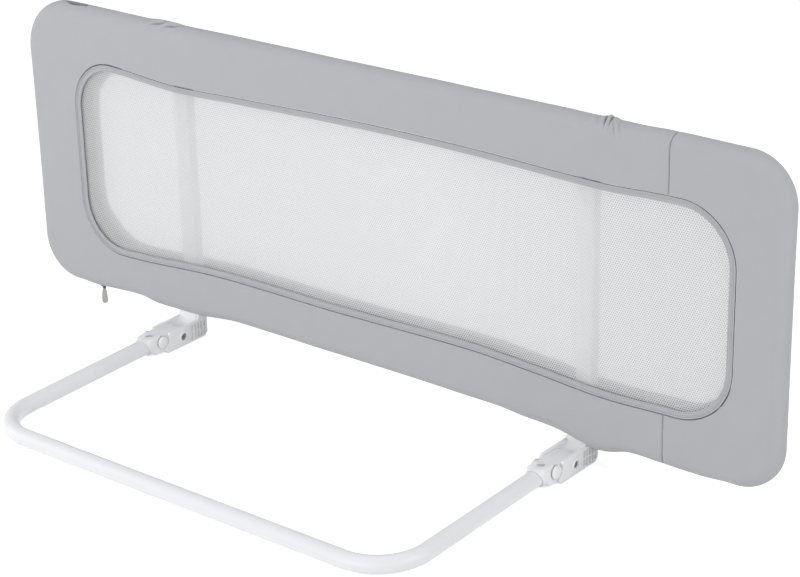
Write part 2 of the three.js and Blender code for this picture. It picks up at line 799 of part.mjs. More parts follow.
// Fork bracket: two ribbed walls that hold the tongue, a floor that stops it, and the neck to the panel.
function makeForkBracket(side) {
  const walls = [
    extrudeX(forkWallOutline(), forkInner, forkHalfWidth),
    extrudeX(forkWallOutline(), -forkHalfWidth, -forkInner),
  ];
  const lap = forkInner + fitGap;
  const floorFront = fitGap - forkHookSetback + forkDepth - forkHookDrop;
  const neck = roundedRectangle(2 * forkHalfWidth, neckDepth, neckCorner);
  const spigot = roundedRectangle(uprightWidth - 2 * postGap, uprightDepth - 2 * postGap, neckCorner);
  const centre = [-pivotSetback, -pivotDrop];
  const body = join(
    walls[0],
    walls[1],
    extrudeX(forkCoreOutline(), -lap, lap),
    block([-lap, floorFront, -forkDepth], [lap, 0, forkFloor - forkDepth]),
    extrudeZ(neck, forkWallTop - neckCorner, neckTop),
    extrudeZ(spigot, rampPeak, neckTop + spigotLength),
    rod("x", bossRadius, forkInner + fitGap, forkHalfWidth + bossHeight, centre),
    rod("x", bossRadius, -forkHalfWidth - bossHeight, -forkInner - fitGap, centre),
  );
  const far = forkHalfWidth + bossHeight + overrun;
  const inner = -side;
  const span = (from, to, sign) => (sign > 0 ? [from, to] : [-to, -from]);
  const screwZ = railBottom;
  return cut(
    body,
    rod("x", boltRadius + fitGap, -far, far, centre),
    rod("x", boltHeadRadius + fitGap, ...span(headSeat - fitGap, far, inner), centre),
    rod("x", nutRadius + fitGap, ...span(nutSeat - fitGap, far, side), centre, 6),
    rod("y", postScrewRadius + fitGap, postScrewTip - fitGap, panelRadius, [0, screwZ], boltSides),
    ...forkPockets(1),
    ...forkPockets(-1),
  );
}

// Pivot bolt: a low round head with a hexagon socket, on the side that faces the rail's middle.
function makePivotBolt(side) {
  const head = headSeat;
  const profile = [
    [-nutSeat - nutHeight, 0],
    [-nutSeat - nutHeight, boltRadius],
    [head, boltRadius],
    [head, boltHeadRadius],
    [head + boltHeadHeight - releaseEdge, boltHeadRadius],
    [head + boltHeadHeight, boltHeadRadius - releaseEdge],
    [head + boltHeadHeight, 0],
  ];
  const centre = [-pivotSetback, -pivotDrop];
  const top = head + boltHeadHeight;
  const socket = rod("x", boltSocketRadius, top - boltSocketDepth, top + overrun, centre, 6);
  const bolt = cut(turnedX(profile, centre), socket);
  return side < 0 ? bolt : bolt.mirror([1, 0, 0]);
}

// Hexagon nut in the recess on the outer side.
function makePivotNut(side) {
  const centre = [-pivotSetback, -pivotDrop];
  const nut = cut(
    rod("x", nutRadius, nutSeat, nutSeat + nutHeight, centre, 6),
    rod("x", boltRadius + fitGap, nutSeat - overrun, nutSeat + nutHeight + overrun, centre),
  );
  return side > 0 ? nut : nut.mirror([1, 0, 0]);
}

// Hub that joins rail, bow and upright: a round body with a spigot into each tube.
function makeHub(z) {
  return join(
    rod("x", railRadius, -hubHalfLength, hubHalfLength, [0, z], tubeSides),
    rod("x", spigotRadius, -hubReachOut, hubReachOut, [0, z], tubeSides),
  );
}

const screwHubSetback = hubHalfLength + hubSpigotLength / 2;

// Holes for the two rail screws of a hub, from the side that faces the panel's middle.
function hubScrewHoles(z, inward) {
  return [-1, 1].map((side) => {
    const ends = [z + inward * (railRadius + overrun), z + inward * (railRadius - screwDepth - overrun)];
    const place = [side * screwHubSetback, 0];
    return rod("z", screwRadius + fitGap, Math.min(...ends), Math.max(...ends), place, boltSides);
  });
}

// Top tee: a hub with a flat spigot down into the upright.
function makeTopTee() {
  const flat = roundedRectangle(uprightWidth - 2 * postGap, uprightDepth - 2 * postGap, neckCorner);
  const shoulder = railTop - railRadius;
  const collar = roundedRectangle(uprightWidth, uprightDepth, uprightCorner);
  return cut(
    join(
      makeHub(railTop),
      extrudeZ(collar, shoulder, railTop),
      extrudeZ(flat, shoulder - teeSpigotLength, railTop),
    ),
    ...hubScrewHoles(railTop, -1),
  );
}

// Bottom connector: a hub that the upright passes through, held by a screw from behind.
function makeBottomConnector() {
  const passage = roundedRectangle(uprightWidth + 2 * fitGap, uprightDepth + 2 * fitGap, uprightCorner);
  const head = railRadius - postScrewHeadHeight - fitGap;
  const outside = railRadius + overrun;
  return cut(
    makeHub(railBottom),
    extrudeZ(passage, railBottom - outside, railBottom + outside),
    rod("y", postScrewRadius + fitGap, 0, outside, [0, railBottom], boltSides),
    rod("y", postScrewHeadRadius + fitGap, head - fitGap, outside, [0, railBottom], smallRodSides),
    ...hubScrewHoles(railBottom, 1),
  );
}

// Upright: a flat-sided steel tube from the bracket's neck to the top tee.
function makeUpright() {
  const shape = roundedRectangle(uprightWidth, uprightDepth, uprightCorner);
  const inside = roundedRectangle(
    uprightWidth - 2 * uprightWall,
    uprightDepth - 2 * uprightWall,
    uprightCorner - uprightWall,
  );
  const from = neckTop + fitGap;
  const to = railTop - railRadius - fitGap;
  return cut(
    extrudeZ(shape, from, to),
    extrudeZ(inside, from - overrun, to + overrun),
    rod("y", postScrewRadius + fitGap, 0, uprightDepth, [0, railBottom], boltSides),
  );
}

// Screw that holds the connector, the upright and the bracket's spigot together.
function makePostScrew() {
  const headTop = railRadius - fitGap;
  const headSeatY = headTop - postScrewHeadHeight;
  return join(
    rod("y", postScrewHeadRadius, headSeatY, headTop, [0, railBottom], smallRodSides),
    rod("y", postScrewRadius, postScrewTip, headSeatY, [0, railBottom], boltSides),
  );
}

// Small screw that holds a rail or bow on a hub's spigot.
function makeRailScrew(z, inward, side) {
  const seat = railRadius + fitGap;
  const place = [side * screwHubSetback, 0];
  const heights = (from, to) => [z + inward * from, z + inward * to].sort((a, b) => a - b);
  return join(
    rod("z", screwHeadRadius, ...heights(seat, seat + screwHeadHeight), place, boltSides),
    rod("z", screwRadius, ...heights(railRadius - screwDepth, seat), place, boltSides),
  );
}

// Hole in a tube's wall for each rail screw whose place is given.
function wallHoles(body, places) {
  return cut(
    body,
    ...places.map(([x, z, inward]) => {
      const ends = [z, z + inward * (railRadius + overrun)];
      return rod("z", screwRadius + fitGap, Math.min(...ends), Math.max(...ends), [x, 0], boltSides);
    }),
  );
}

// Middle rail between the two hubs of one edge.
function makeRail(z, inward) {
  const x = postReach - screwHubSetback;
  return wallHoles(pipeX(railRadius, railWall, -hubReach, hubReach, z), [
    [-x, z, inward],
    [x, z, inward],
  ]);
}

// End bow: one tube bent to a C, from the top hub round the panel's end to the bottom hub.
function makeEndBow(side) {
  const end = panelLength / 2 - panelRadius;
  const bend = panelCornerRadius - panelRadius;
  const corners = [
    { at: new THREE.Vector3(side * bowReach, 0, railTop) },
    { at: new THREE.Vector3(side * end, 0, railTop), bend },
    { at: new THREE.Vector3(side * end, 0, railBottom), bend },
    { at: new THREE.Vector3(side * bowReach, 0, railBottom) },
  ];
  const x = side * (postReach + screwHubSetback);
  return wallHoles(pipe(route(corners), railRadius, railWall, new THREE.Vector3(0, 1, 0)), [
    [x, railTop, -1],
    [x, railBottom, 1],
  ]);
}

// The whole cover as one skin, before its seams part it: hollow, with windows and slots for the necks.
function makeCoverSkin(outline) {
  const windowShape = new THREE.Shape(windowOutline().map(({ point }) => point));
  const neckGap = 2 * coverClearance;
  const side = forkHalfWidth + coverClearance;
  const back = neckHalfDepth + coverClearance;
  const lowest = panelBottom - hemBulge - overrun;
  const slots = [-postReach, postReach].flatMap((x) => [
    block([x - side, -back, lowest], [x + side, back, railBottom - neckGap]),
    block([x - side, -back - forkChamfer, lowest], [x + side, back, rampPeak + coverClearance]),
  ]);
  return cut(
    pillow(outline, 0),
    pillow(outline, coverWall),
    extrudeY(windowShape, -panelRadius - overrun, panelRadius + overrun),
    ...slots,
  );
}

// One sewn piece of the cover: the part of the skin between two places along the rail.
function coverPiece(skin, from, to) {
  const depth = panelRadius + overrun;
  const lowest = panelBottom - hemBulge - overrun;
  return skin.intersect(block([from, -depth, lowest], [to, depth, panelTop + overrun]));
}

// Binding tape round a window, flush with the cover, on its front or its back.
function makeBinding(front) {
  const loop = windowOutline();
  const shape = new THREE.Shape(movedIn(loop, fitGap));
  shape.holes.push(new THREE.Path(movedIn(loop, bindingWidth)));
  return front
    ? extrudeY(shape, -panelRadius, coverWall - panelRadius)
    : extrudeY(shape, panelRadius - coverWall, panelRadius);
}

// Mesh sheet that closes a window. Its edge lies under the binding.
function makeMeshSheet(front) {
  const shape = new THREE.Shape(movedIn(windowOutline(), bindingLap));
  const near = panelRadius - coverWall - fitGap - meshThickness;
  return front ? extrudeY(shape, -near - meshThickness, -near) : extrudeY(shape, near, near + meshThickness);
}

// Zip slider under the zip, with the bridge that its pull hangs from.
function makeZipSlider() {
  const top = panelBottom - fitGap;
  const half = sliderLength / 2;
  const nose = (sliderWidth / 2) * sliderNoseShare;
  const body = new THREE.Shape();
  body.moveTo(-half, -nose);
  body.lineTo(0, -sliderWidth / 2);
  body.lineTo(half, -sliderWidth / 2);
  body.lineTo(half, sliderWidth / 2);
  body.lineTo(0, sliderWidth / 2);
  body.lineTo(-half, nose);
  const arch = new THREE.Shape();
  arch.moveTo(bridgeBar - half, 0);
  arch.lineTo(2 * bridgeBar - half, -bridgeDrop);
  arch.lineTo(half - 2 * bridgeBar, -bridgeDrop);
  arch.lineTo(half - bridgeBar, 0);
  const eye = new THREE.Path();
  eye.moveTo(2 * bridgeBar + fitGap - half, -bridgeBar / 2);
  eye.lineTo(half - 2 * bridgeBar - fitGap, -bridgeBar / 2);
  eye.lineTo(half - 3 * bridgeBar, bridgeBar - bridgeDrop);
  eye.lineTo(3 * bridgeBar - half, bridgeBar - bridgeDrop);
  arch.holes.push(eye);
  const bridge = extrudeY(arch, -bridgeThickness / 2, bridgeThickness / 2);
  return join(
    extrudeZ(body, top - sliderHeight, top).translate([-sliderReach, 0, 0]),
    bridge.translate([-sliderReach, 0, top - sliderHeight + fitGap]),
  );
}

// Zip pull: a flat drop-shaped tab whose eye is threaded on the slider's bridge.
function makeZipPull() {
  const tab = new THREE.Shape();
  const tip = pullEyeRadius - pullLength;
  const round = pullWidth / 2;
  tab.absarc(0, 0, pullEyeRadius, pullEyeAngle, Math.PI - pullEyeAngle);
  tab.quadraticCurveTo(-pullEyeRadius, -pullEyeRadius, -pullHoleRadius, -2 * pullEyeRadius);
  tab.quadraticCurveTo(-round, tip / 2, -round, tip + round);
  tab.absarc(0, tip + round, round, Math.PI, 2 * Math.PI);
  tab.quadraticCurveTo(round, tip / 2, pullHoleRadius, -2 * pullEyeRadius);
  tab.quadraticCurveTo(pullEyeRadius, -pullEyeRadius, pullEyeRadius * Math.cos(pullEyeAngle), pullHoleRadius);
  const hole = new THREE.Path();
  hole.absarc(0, 0, pullHoleRadius, 0, 2 * Math.PI, true);
  tab.holes.push(hole);
  return extrudeX(tab, -pullThickness / 2, pullThickness / 2).translate([-sliderReach, 0, pullPivotZ]);
}

// The product: every group stands on the floor, with the panel's middle plane set back from the origin.
const product = new THREE.Group();
const placeAt = (x) => {
  const group = new THREE.Group();
  group.position.set(x, panelSetY, forkDepth);
  product.add(group);
  return group;
};

const add = (group, name, body, material) => {
  const mesh = new THREE.Mesh(geometryOf(body), material);
  mesh.name = name;
  group.add(mesh);
};

const middle = placeAt(0);
add(middle, "base_tube", makeBaseTube(), whitePaint);

for (const [word, side] of [["left", -1], ["right", 1]]) {
  const hinge = placeAt(side * postReach);
  add(hinge, word + "_base_knuckle", makeKnuckle(), whitePlastic);
  add(hinge, word + "_fork_bracket", makeForkBracket(side), whitePlastic);
  add(hinge, word + "_pivot_bolt", makePivotBolt(side), brightSteel);
  add(hinge, word + "_pivot_nut", makePivotNut(side), brightSteel);
  add(hinge, word + "_outer_release_button", makeReleaseButton(side), whitePlastic);
  add(hinge, word + "_inner_release_button", makeReleaseButton(-side), whitePlastic);
  add(hinge, word + "_outer_release_spring", makeReleaseSpring(side), springSteel);
  add(hinge, word + "_inner_release_spring", makeReleaseSpring(-side), springSteel);
  add(hinge, word + "_tube_snap_button", makeSnapButton(), whitePlastic);
  add(hinge, word + "_tube_snap_spring", makeSnapSpring(), springSteel);
  add(hinge, word + "_upright", makeUpright(), whitePaint);
  add(hinge, word + "_top_tee", makeTopTee(), whitePlastic);
  add(hinge, word + "_bottom_connector", makeBottomConnector(), whitePlastic);
  add(hinge, word + "_post_screw", makePostScrew(), brightSteel);
  for (const [edge, z, inward] of [["top", railTop, -1], ["bottom", railBottom, 1]]) {
    add(hinge, word + "_" + edge + "_rail_screw", makeRailScrew(z, inward, -side), brightSteel);
    add(hinge, word + "_" + edge + "_bow_screw", makeRailScrew(z, inward, side), brightSteel);
  }
  add(middle, word + "_end_bow", makeEndBow(side), whitePaint);
}
add(middle, "top_rail", makeRail(railTop, -1), whitePaint);
add(middle, "bottom_rail", makeRail(railBottom, 1), whitePaint);

const outline = panelOutline();
const skin = makeCoverSkin(outline);
const beyond = panelLength / 2 + overrun;
const slotStations = zipStations(outline, fitGap);
const zipSlot = outlineBand(slotStations, zipHalfWidth + fitGap, -overrun, overrun + coverWall);
const mainCover = coverPiece(skin, -beyond, seamReach - seamGap / 2);
add(middle, "cover_main", cut(mainCover, zipSlot), coverFabric);
add(middle, "cover_right_end", coverPiece(skin, seamReach + seamGap / 2, beyond), coverFabric);
add(middle, "front_binding", makeBinding(true), bindingFabric);
add(middle, "back_binding", makeBinding(false), bindingFabric);
add(middle, "front_mesh", makeMeshSheet(true), meshFabric);
add(middle, "back_mesh", makeMeshSheet(false), meshFabric);
add(middle, "zip_chain", outlineBand(zipStations(outline, 0), zipHalfWidth, 0, coverWall), coverFabric);
add(middle, "zip_slider", makeZipSlider(), zipMetal);
add(middle, "zip_pull", makeZipPull(), zipMetal);

export default product;
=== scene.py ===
"""Folding bed guard rail: a cloth-covered fence panel with mesh windows on a U-shaped base tube.

The panel's cover is sewn from two pieces over a tube frame, with a zip round its left end. Two
moulded hinges with push buttons join it to the base that goes under the mattress.
Metres, +Z up, X along the rail, the base towards -Y.
"""

import logging
import math
from dataclasses import dataclass, field
from enum import Enum
from functools import partial
from typing import Callable, Dict, List, Optional, Sequence, Tuple, Union

import bpy
import numpy as np
from mathutils import Matrix, Vector

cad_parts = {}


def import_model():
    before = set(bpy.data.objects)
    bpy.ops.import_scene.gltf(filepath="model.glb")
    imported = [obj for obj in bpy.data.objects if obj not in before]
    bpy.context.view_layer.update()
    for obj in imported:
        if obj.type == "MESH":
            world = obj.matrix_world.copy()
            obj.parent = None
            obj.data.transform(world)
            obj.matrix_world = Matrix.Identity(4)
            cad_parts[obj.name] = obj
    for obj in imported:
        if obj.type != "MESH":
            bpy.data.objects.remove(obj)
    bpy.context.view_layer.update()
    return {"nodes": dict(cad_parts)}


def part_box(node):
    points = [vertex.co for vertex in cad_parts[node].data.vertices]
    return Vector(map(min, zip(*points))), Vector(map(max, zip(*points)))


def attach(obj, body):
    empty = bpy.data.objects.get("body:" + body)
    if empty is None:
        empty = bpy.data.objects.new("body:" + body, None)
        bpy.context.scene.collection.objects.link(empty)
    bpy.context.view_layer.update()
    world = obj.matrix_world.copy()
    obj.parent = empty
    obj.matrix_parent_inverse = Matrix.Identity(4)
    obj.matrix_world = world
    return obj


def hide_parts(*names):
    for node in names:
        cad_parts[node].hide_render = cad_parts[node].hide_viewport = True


LOG = logging.getLogger("bed_guard_rail")
MM = 0.001

Vec2 = Tuple[float, float]
Vec3 = Tuple[float, float, float]
Socket = bpy.types.NodeSocket
Colour = Union[Socket, Sequence[float]]


class Body(Enum):
    """The rigid bodies that the pieces move with."""

    BASE = "base"
    PANEL = "panel"
    SLIDER = "zip_slider"
    PULL = "zip_pull"


class Face(Enum):
    """The two faces of the panel. The value is the side of the middle plane along Y."""

    FRONT = -1
    BACK = 1


class End(Enum):
    """The two ends of the rail. The value is the side along X."""

    LEFT = -1
    RIGHT = 1


class Edge(Enum):
    """The panel's two long edges."""

    TOP = 1
    BOTTOM = -1


def linear(hex_colour: str) -> Tuple[float, float, float, float]:
    """Turns an sRGB hex colour to linear.

    Args:
        hex_colour: The colour as six hex digits.

    Returns:
        Linear red, green, blue and an alpha of one.
    """
    parts = [int(hex_colour[i:i + 2], 16) / 255 for i in (0, 2, 4)]
    lit = [c / 12.92 if c <= 0.04045 else ((c + 0.055) / 1.055) ** 2.4 for c in parts]
    return lit[0], lit[1], lit[2], 1.0


def add_node(tree: bpy.types.NodeTree, kind: str, links: Optional[Dict] = None,
             **settings: str) -> bpy.types.Node:
    """Adds a node with its settings and links.

    Args:
        tree: The node tree to add to.
        kind: The node's type name.
        links: Input names or numbers, each with a value or an output socket.
        **settings: Attributes of the node itself.

    Returns:
        The new node.
    """
    node = tree.nodes.new(kind)
    for name, value in settings.items():
        setattr(node, name, value)
    for name, value in (links or {}).items():
        if isinstance(value, Socket):
            tree.links.new(value, node.inputs[name])
        else:
            node.inputs[name].default_value = value
    return node


def calc(tree: bpy.types.NodeTree, operation: str, *values: Union[float, Socket]) -> Socket:
    """Adds a math node.

    Args:
        tree: The node tree.
        operation: What it does.
        *values: The numbers or sockets that it works on.

    Returns:
        The socket with its result.
    """
    return add_node(tree, "ShaderNodeMath", dict(enumerate(values)), operation=operation).outputs[0]


def span(tree: bpy.types.NodeTree, value: Socket, start: Vec2 = (0.0, 1.0),
         goal: Vec2 = (0.0, 1.0)) -> Socket:
    """Maps one span of values to another.

    Args:
        tree: The node tree.
        value: The value to map.
        start: The span that it lies in.
        goal: The span that it is mapped to.

    Returns:
        The socket with the mapped value.
    """
    ends = {"From Min": start[0], "From Max": start[1], "To Min": goal[0], "To Max": goal[1]}
    return add_node(tree, "ShaderNodeMapRange", {"Value": value, **ends}).outputs[0]


def blend(tree: bpy.types.NodeTree, share: Union[float, Socket], first: Colour, second: Colour,
          mode: str = "MIX") -> Socket:
    """Mixes two colours.

    Args:
        tree: The node tree.
        share: How much of the second one there is.
        first: A colour or a socket.
        second: Another.
        mode: How they are mixed.

    Returns:
        The socket with the colour.
    """
    links = {"Factor": share, 6: first, 7: second}
    return add_node(tree, "ShaderNodeMix", links, data_type="RGBA", blend_type=mode).outputs[2]


def noise(tree: bpy.types.NodeTree, place: Socket, scale: float, detail: float,
          roughness: float = 0.5) -> Socket:
    """Adds cloudy noise.

    Args:
        tree: The node tree.
        place: The socket with the place.
        scale: How many clouds there are in a metre.
        detail: How many finer layers they have.
        roughness: How strong the finer layers are.

    Returns:
        The socket with the noise.
    """
    links = {"Vector": place, "Scale": scale, "Detail": detail, "Roughness": roughness}
    return add_node(tree, "ShaderNodeTexNoise", links).outputs["Fac"]


def raise_skin(tree: bpy.types.NodeTree, shader: bpy.types.Node, height: Socket, strength: float,
               depth: float) -> None:
    """Gives a shader a fine relief.

    Args:
        tree: The node tree.
        shader: The Principled shader.
        height: The socket with the relief's height.
        strength: How strongly it shows.
        depth: Its greatest height in metres.
    """
    links = {"Height": height, "Strength": strength, "Distance": depth}
    tree.links.new(add_node(tree, "ShaderNodeBump", links).outputs[0], shader.inputs["Normal"])


def object_place(tree: bpy.types.NodeTree) -> Tuple[Socket, bpy.types.NodeOutputs]:
    """Adds the place on the object in metres.

    Args:
        tree: The node tree.

    Returns:
        The socket with the place, and its X, Y and Z apart.
    """
    place = add_node(tree, "ShaderNodeTexCoord").outputs["Object"]
    return place, add_node(tree, "ShaderNodeSeparateXYZ", {0: place}).outputs


@dataclass(frozen=True)
class Finish:
    """A surface finish: what every material of the rail is described by.

    Attributes:
        name: The material's name, for the real finish.
        colour: Its colour as sRGB hex.
        roughness: How rough the surface is at its smoothest.
        metallic: One for bare metal.
        ior: Index of refraction of a coating, plastic or fibre.
    """

    name: str
    colour: str
    roughness: float
    metallic: float = 0.0
    ior: float = 1.5

    def start(self) -> Tuple[bpy.types.Material, bpy.types.NodeTree, bpy.types.Node]:
        """Makes the material with its shader's constants set.

        Returns:
            The material, its node tree and its Principled shader.
        """
        material = bpy.data.materials.new(self.name)
        material.use_nodes = True
        tree = material.node_tree
        shader = tree.nodes["Principled BSDF"]
        shader.inputs["Base Color"].default_value = linear(self.colour)
        shader.inputs["Roughness"].default_value = self.roughness
        shader.inputs["Metallic"].default_value = self.metallic
        if not self.metallic:
            shader.inputs["IOR"].default_value = self.ior
        return material, tree, shader


@dataclass(frozen=True)
class WovenCloth(Finish):
    """Plain-woven polyester: fine crossing threads, soft broad shading and a faint sheen.

    Attributes:
        thread: Thread spacing in metres, as coarse as it needs to show.
        darker: The colour in the hollows between the threads, as sRGB hex.
        relief: Height of the weave in metres.
        sheen: Weight of the fibres' sheen.
        fold: The painted shade deep in a gathered fold, as sRGB hex.
        slub: Scale, detail and roughness of the clouds in its colour.
        contrast: How much of the weave's pattern shows.
    """

    thread: float = 1.1 * MM
    darker: str = "a9abb0"
    relief: float = 0.05 * MM
    sheen: float = 0.12
    fold: str = "4c4d51"
    slub: Vec3 = (35.0, 3.0, 0.55)
    contrast: float = 0.55

    def make(self) -> bpy.types.Material:
        """Makes the cloth.

        Returns:
            The finished material.
        """
        material, tree, shader = self.start()
        shader.inputs["Sheen Weight"].default_value = self.sheen
        place, parts = object_place(tree)
        turn = 2 * math.pi / self.thread
        along = calc(tree, "MULTIPLY", parts["X"], turn)
        # Both faces and the rounded edges run in Z or Y, so their sum crosses the threads everywhere.
        across = calc(tree, "MULTIPLY", calc(tree, "ADD", parts["Z"], parts["Y"]), turn)
        weave = calc(tree, "MULTIPLY", calc(tree, "SINE", along), calc(tree, "SINE", across))
        level = span(tree, weave, (-1.0, 1.0))
        shade = calc(tree, "MULTIPLY", level, noise(tree, place, *self.slub))
        woven = blend(tree, shade, linear(self.darker), linear(self.colour))
        spread = blend(tree, self.contrast, linear(self.colour), woven)
        # Painted shade: deep in a gathered fold the cloth turns nearly black.
        crease_shade = add_node(tree, "ShaderNodeAttribute", attribute_name="crease_shade").outputs["Fac"]
        crease_shaded = blend(tree, crease_shade, spread, linear(self.fold))
        tree.links.new(crease_shaded, shader.inputs["Base Color"])
        raise_skin(tree, shader, level, 0.35, self.relief)
        return material


@dataclass(frozen=True)
class TwillTape(Finish):
    """Woven binding tape: close diagonal ribs across a narrow band.

    Attributes:
        rib: Rib spacing in metres.
        relief: Height of the ribs in metres.
        groove: Brightness between two ribs, as a share.
    """

    rib: float = 1.4 * MM
    relief: float = 0.12 * MM
    groove: float = 0.86

    def make(self) -> bpy.types.Material:
        """Makes the tape.

        Returns:
            The finished material.
        """
        material, tree, shader = self.start()
        shader.inputs["Sheen Weight"].default_value = 0.1
        _, parts = object_place(tree)
        slant = calc(tree, "ADD", parts["X"], parts["Z"])
        ribs = calc(tree, "SINE", calc(tree, "MULTIPLY", slant, 2 * math.pi / self.rib))
        level = span(tree, ribs, (-1.0, 1.0))
        tone = span(tree, level, goal=(self.groove, 1.0))
        colour = blend(tree, 1.0, linear(self.colour), tone, "MULTIPLY")
        tree.links.new(colour, shader.inputs["Base Color"])
        raise_skin(tree, shader, level, 0.5, self.relief)
        return material


@dataclass(frozen=True)
class KnittedMesh(Finish):
    """Warp-knitted mesh: rows of small holes set half a step apart, with white threads between them.

    Attributes:
        pitch: Hole spacing along a row in metres.
        hole: Hole radius as a share of the spacing.
        soft: Half the width of its soft rim, as the same share.
        veil: How much of a hole the thin threads that cross it cover.
        glow: How much light the thin white threads let through.
        turned: Whether the rows run up and down.
        shade: Two places along X, in metres, between which the painted shade changes.
        bright: Its brightness at each of them, as a share; the colour is darkened by it as painted shade.
    """

    pitch: float = 3.2 * MM
    hole: float = 0.28
    soft: float = 0.1
    veil: float = 0.1
    glow: float = 0.25
    turned: bool = False
    shade: Vec2 = (0.1, 0.4)
    bright: Vec2 = (1.0, 0.62)

    def make(self) -> bpy.types.Material:
        """Makes the mesh cloth.

        Returns:
            The finished material.
        """
        material, tree, shader = self.start()
        _, parts = object_place(tree)
        shader.inputs["Transmission Weight"].default_value = self.glow
        # Painted shade: the colour is darkened along X, where the mesh lies in shade.
        tone = span(tree, parts["X"], self.shade, self.bright)
        colour = blend(tree, 1.0, linear(self.colour), tone, "MULTIPLY")
        tree.links.new(colour, shader.inputs["Base Color"])
        near = [self.hole_distance(tree, parts, half) for half in (0.0, 0.5)]
        solid = span(tree, calc(tree, "MINIMUM", *near), (self.hole - self.soft, self.hole + self.soft),
                     (self.veil, 1.0))
        tree.links.new(solid, shader.inputs["Alpha"])
        material.surface_render_method = "DITHERED"
        return material

    def hole_distance(self, tree: bpy.types.NodeTree, parts: bpy.types.NodeOutputs,
                      half: float) -> Socket:
        """Adds the distance to the nearest hole of one of the two interleaved grids.

        Args:
            tree: The node tree.
            parts: The outputs that give X and Z apart.
            half: Offset of this grid, as a share of its cell.

        Returns:
            The socket with the distance, as a share of the hole spacing.
        """
        row = self.pitch * math.sqrt(3)
        along, across = ("Z", "X") if self.turned else ("X", "Z")
        squares = []
        for axis, pitch, share in ((along, self.pitch, 1.0), (across, row, row / self.pitch)):
            # The grid starts 100 cells away, so that no part of the cloth lies on its negative side.
            inside = calc(tree, "FRACT", calc(tree, "MULTIPLY_ADD", parts[axis], 1 / pitch, half + 100.0))
            scaled = calc(tree, "MULTIPLY", calc(tree, "SUBTRACT", inside, 0.5), share)
            squares.append(calc(tree, "POWER", scaled, 2.0))
        return calc(tree, "SQRT", calc(tree, "ADD", *squares))


@dataclass(frozen=True)
class SmoothSkin(Finish):
    """Powder coat or moulded plastic: a satin skin with a very fine orange peel and faint uneven gloss.

    Attributes:
        grain: Size of the surface's grain in metres.
        relief: Height of the grain in metres.
        uneven: How far the roughness wanders.
    """

    grain: float = 1.2 * MM
    relief: float = 0.01 * MM
    uneven: float = 0.08

    def make(self) -> bpy.types.Material:
        """Makes the skin.

        Returns:
            The finished material.
        """
        material, tree, shader = self.start()
        place = add_node(tree, "ShaderNodeTexCoord").outputs["Object"]
        cloud = noise(tree, place, 22.0, 3.0)
        gloss = span(tree, cloud, goal=(self.roughness - self.uneven, self.roughness + self.uneven))
        tree.links.new(gloss, shader.inputs["Roughness"])
        raise_skin(tree, shader, noise(tree, place, 1 / self.grain, 2.0), 0.4, self.relief)
        return material


class Finishes:
    """All the finishes of the rail, made once and shared by the pieces."""

    def __init__(self) -> None:
        """Makes every material."""
        # The cover: flat grey with a soft weave, and painted shade, nearly black, deep in a gathered fold.
        self.cover = WovenCloth("woven_polyester_grey", "b9babe", 0.85, darker="a7a9ad").make()
        # The binding: a slightly lighter ribbed band, and a darker copy on the bead's outer flank, which
        # paints the shadow line beside the cover's edge.
        self.tape = TwillTape("binding_tape_grey", "bec0c4", 0.8).make()
        self.tape_painted_shade = TwillTape("binding_tape_painted_shade_line", "5c5d61", 0.9).make()
        # The zip: a dark line in its opening, with paler teeth, which share the stitches' thread.
        self.zip_tape = TwillTape("zip_tape_grey", "77787d", 0.85, rib=1.2 * MM).make()
        self.thread = SmoothSkin("sewing_thread_grey", "a4a6aa", 0.7).make()
        # The mesh: white threads that veil what lies behind them. The back layer is drawn four times
        # as fine, so that the two layers don't make a pattern of their own. Both carry painted shade: the
        # front darkens a little towards the left, and the back is a darker copy that darkens further to the
        # right.
        self.mesh = {
            Face.FRONT: KnittedMesh(
                "warp_knit_mesh_white_front", "e8eaeb", 0.8, shade=(-0.3, 0.3), bright=(0.95, 1.0)).make(),
            Face.BACK: KnittedMesh(
                "warp_knit_mesh_white_back", "dfe1e2", 0.8, pitch=0.85 * MM, turned=True).make(),
        }
        # The base and the hidden frame: satin white, with soft highlights along the tube.
        self.powder = SmoothSkin("powder_coat_white", "e9eaed", 0.32).make()
        # The uprights and the pivots' rims: a lighter copy of the white powder coat, as painted light,
        # so that the uprights look lit through the mesh and the rims show a painted highlight.
        self.upright = SmoothSkin("powder_coat_white_painted_lit", "f8f8f8", 0.4).make()
        # The hinges: milky white with a duller sheen than the tubes.
        self.nylon = SmoothSkin("moulded_nylon_white", "f0f1f3", 0.42, ior=1.53, grain=0.9 * MM).make()
        # Screws, bolts and springs: bright, dull and dark bare metal. The pivots' bolts and nuts get the
        # darker zinc: partly their duller plating, partly painted shade of the deep recess round them.
        self.zinc = SmoothSkin("zinc_plated_steel", "bfc2c4", 0.32, metallic=1.0).make()
        self.dull_shaded_zinc = SmoothSkin("dull_zinc_plated_steel_painted_shade", "7f8285", 0.42, metallic=1.0).make()
        self.spring = SmoothSkin("drawn_spring_steel", "8f9396", 0.3, metallic=1.0).make()
        # The zip's pull and slider: warm grey metal, and a copy painted nearly black on the slider, as the
        # shade under the hem.
        self.zip_metal = SmoothSkin("nickel_plated_die_cast", "a2a39f", 0.42, metallic=1.0).make()
        self.zip_slider = SmoothSkin("nickel_plated_die_cast_painted_shade", "555654", 0.45, metallic=1.0).make()


def deselect_all() -> None:
    """Leaves object mode with nothing selected."""
    if bpy.context.object and bpy.context.object.mode != "OBJECT":
        bpy.ops.object.mode_set(mode="OBJECT")
    bpy.ops.object.select_all(action="DESELECT")


def pick(piece: bpy.types.Object) -> None:
    """Selects one object alone and makes it active.

    Args:
        piece: The object.
    """
    deselect_all()
    piece.select_set(True)
    bpy.context.view_layer.objects.active = piece


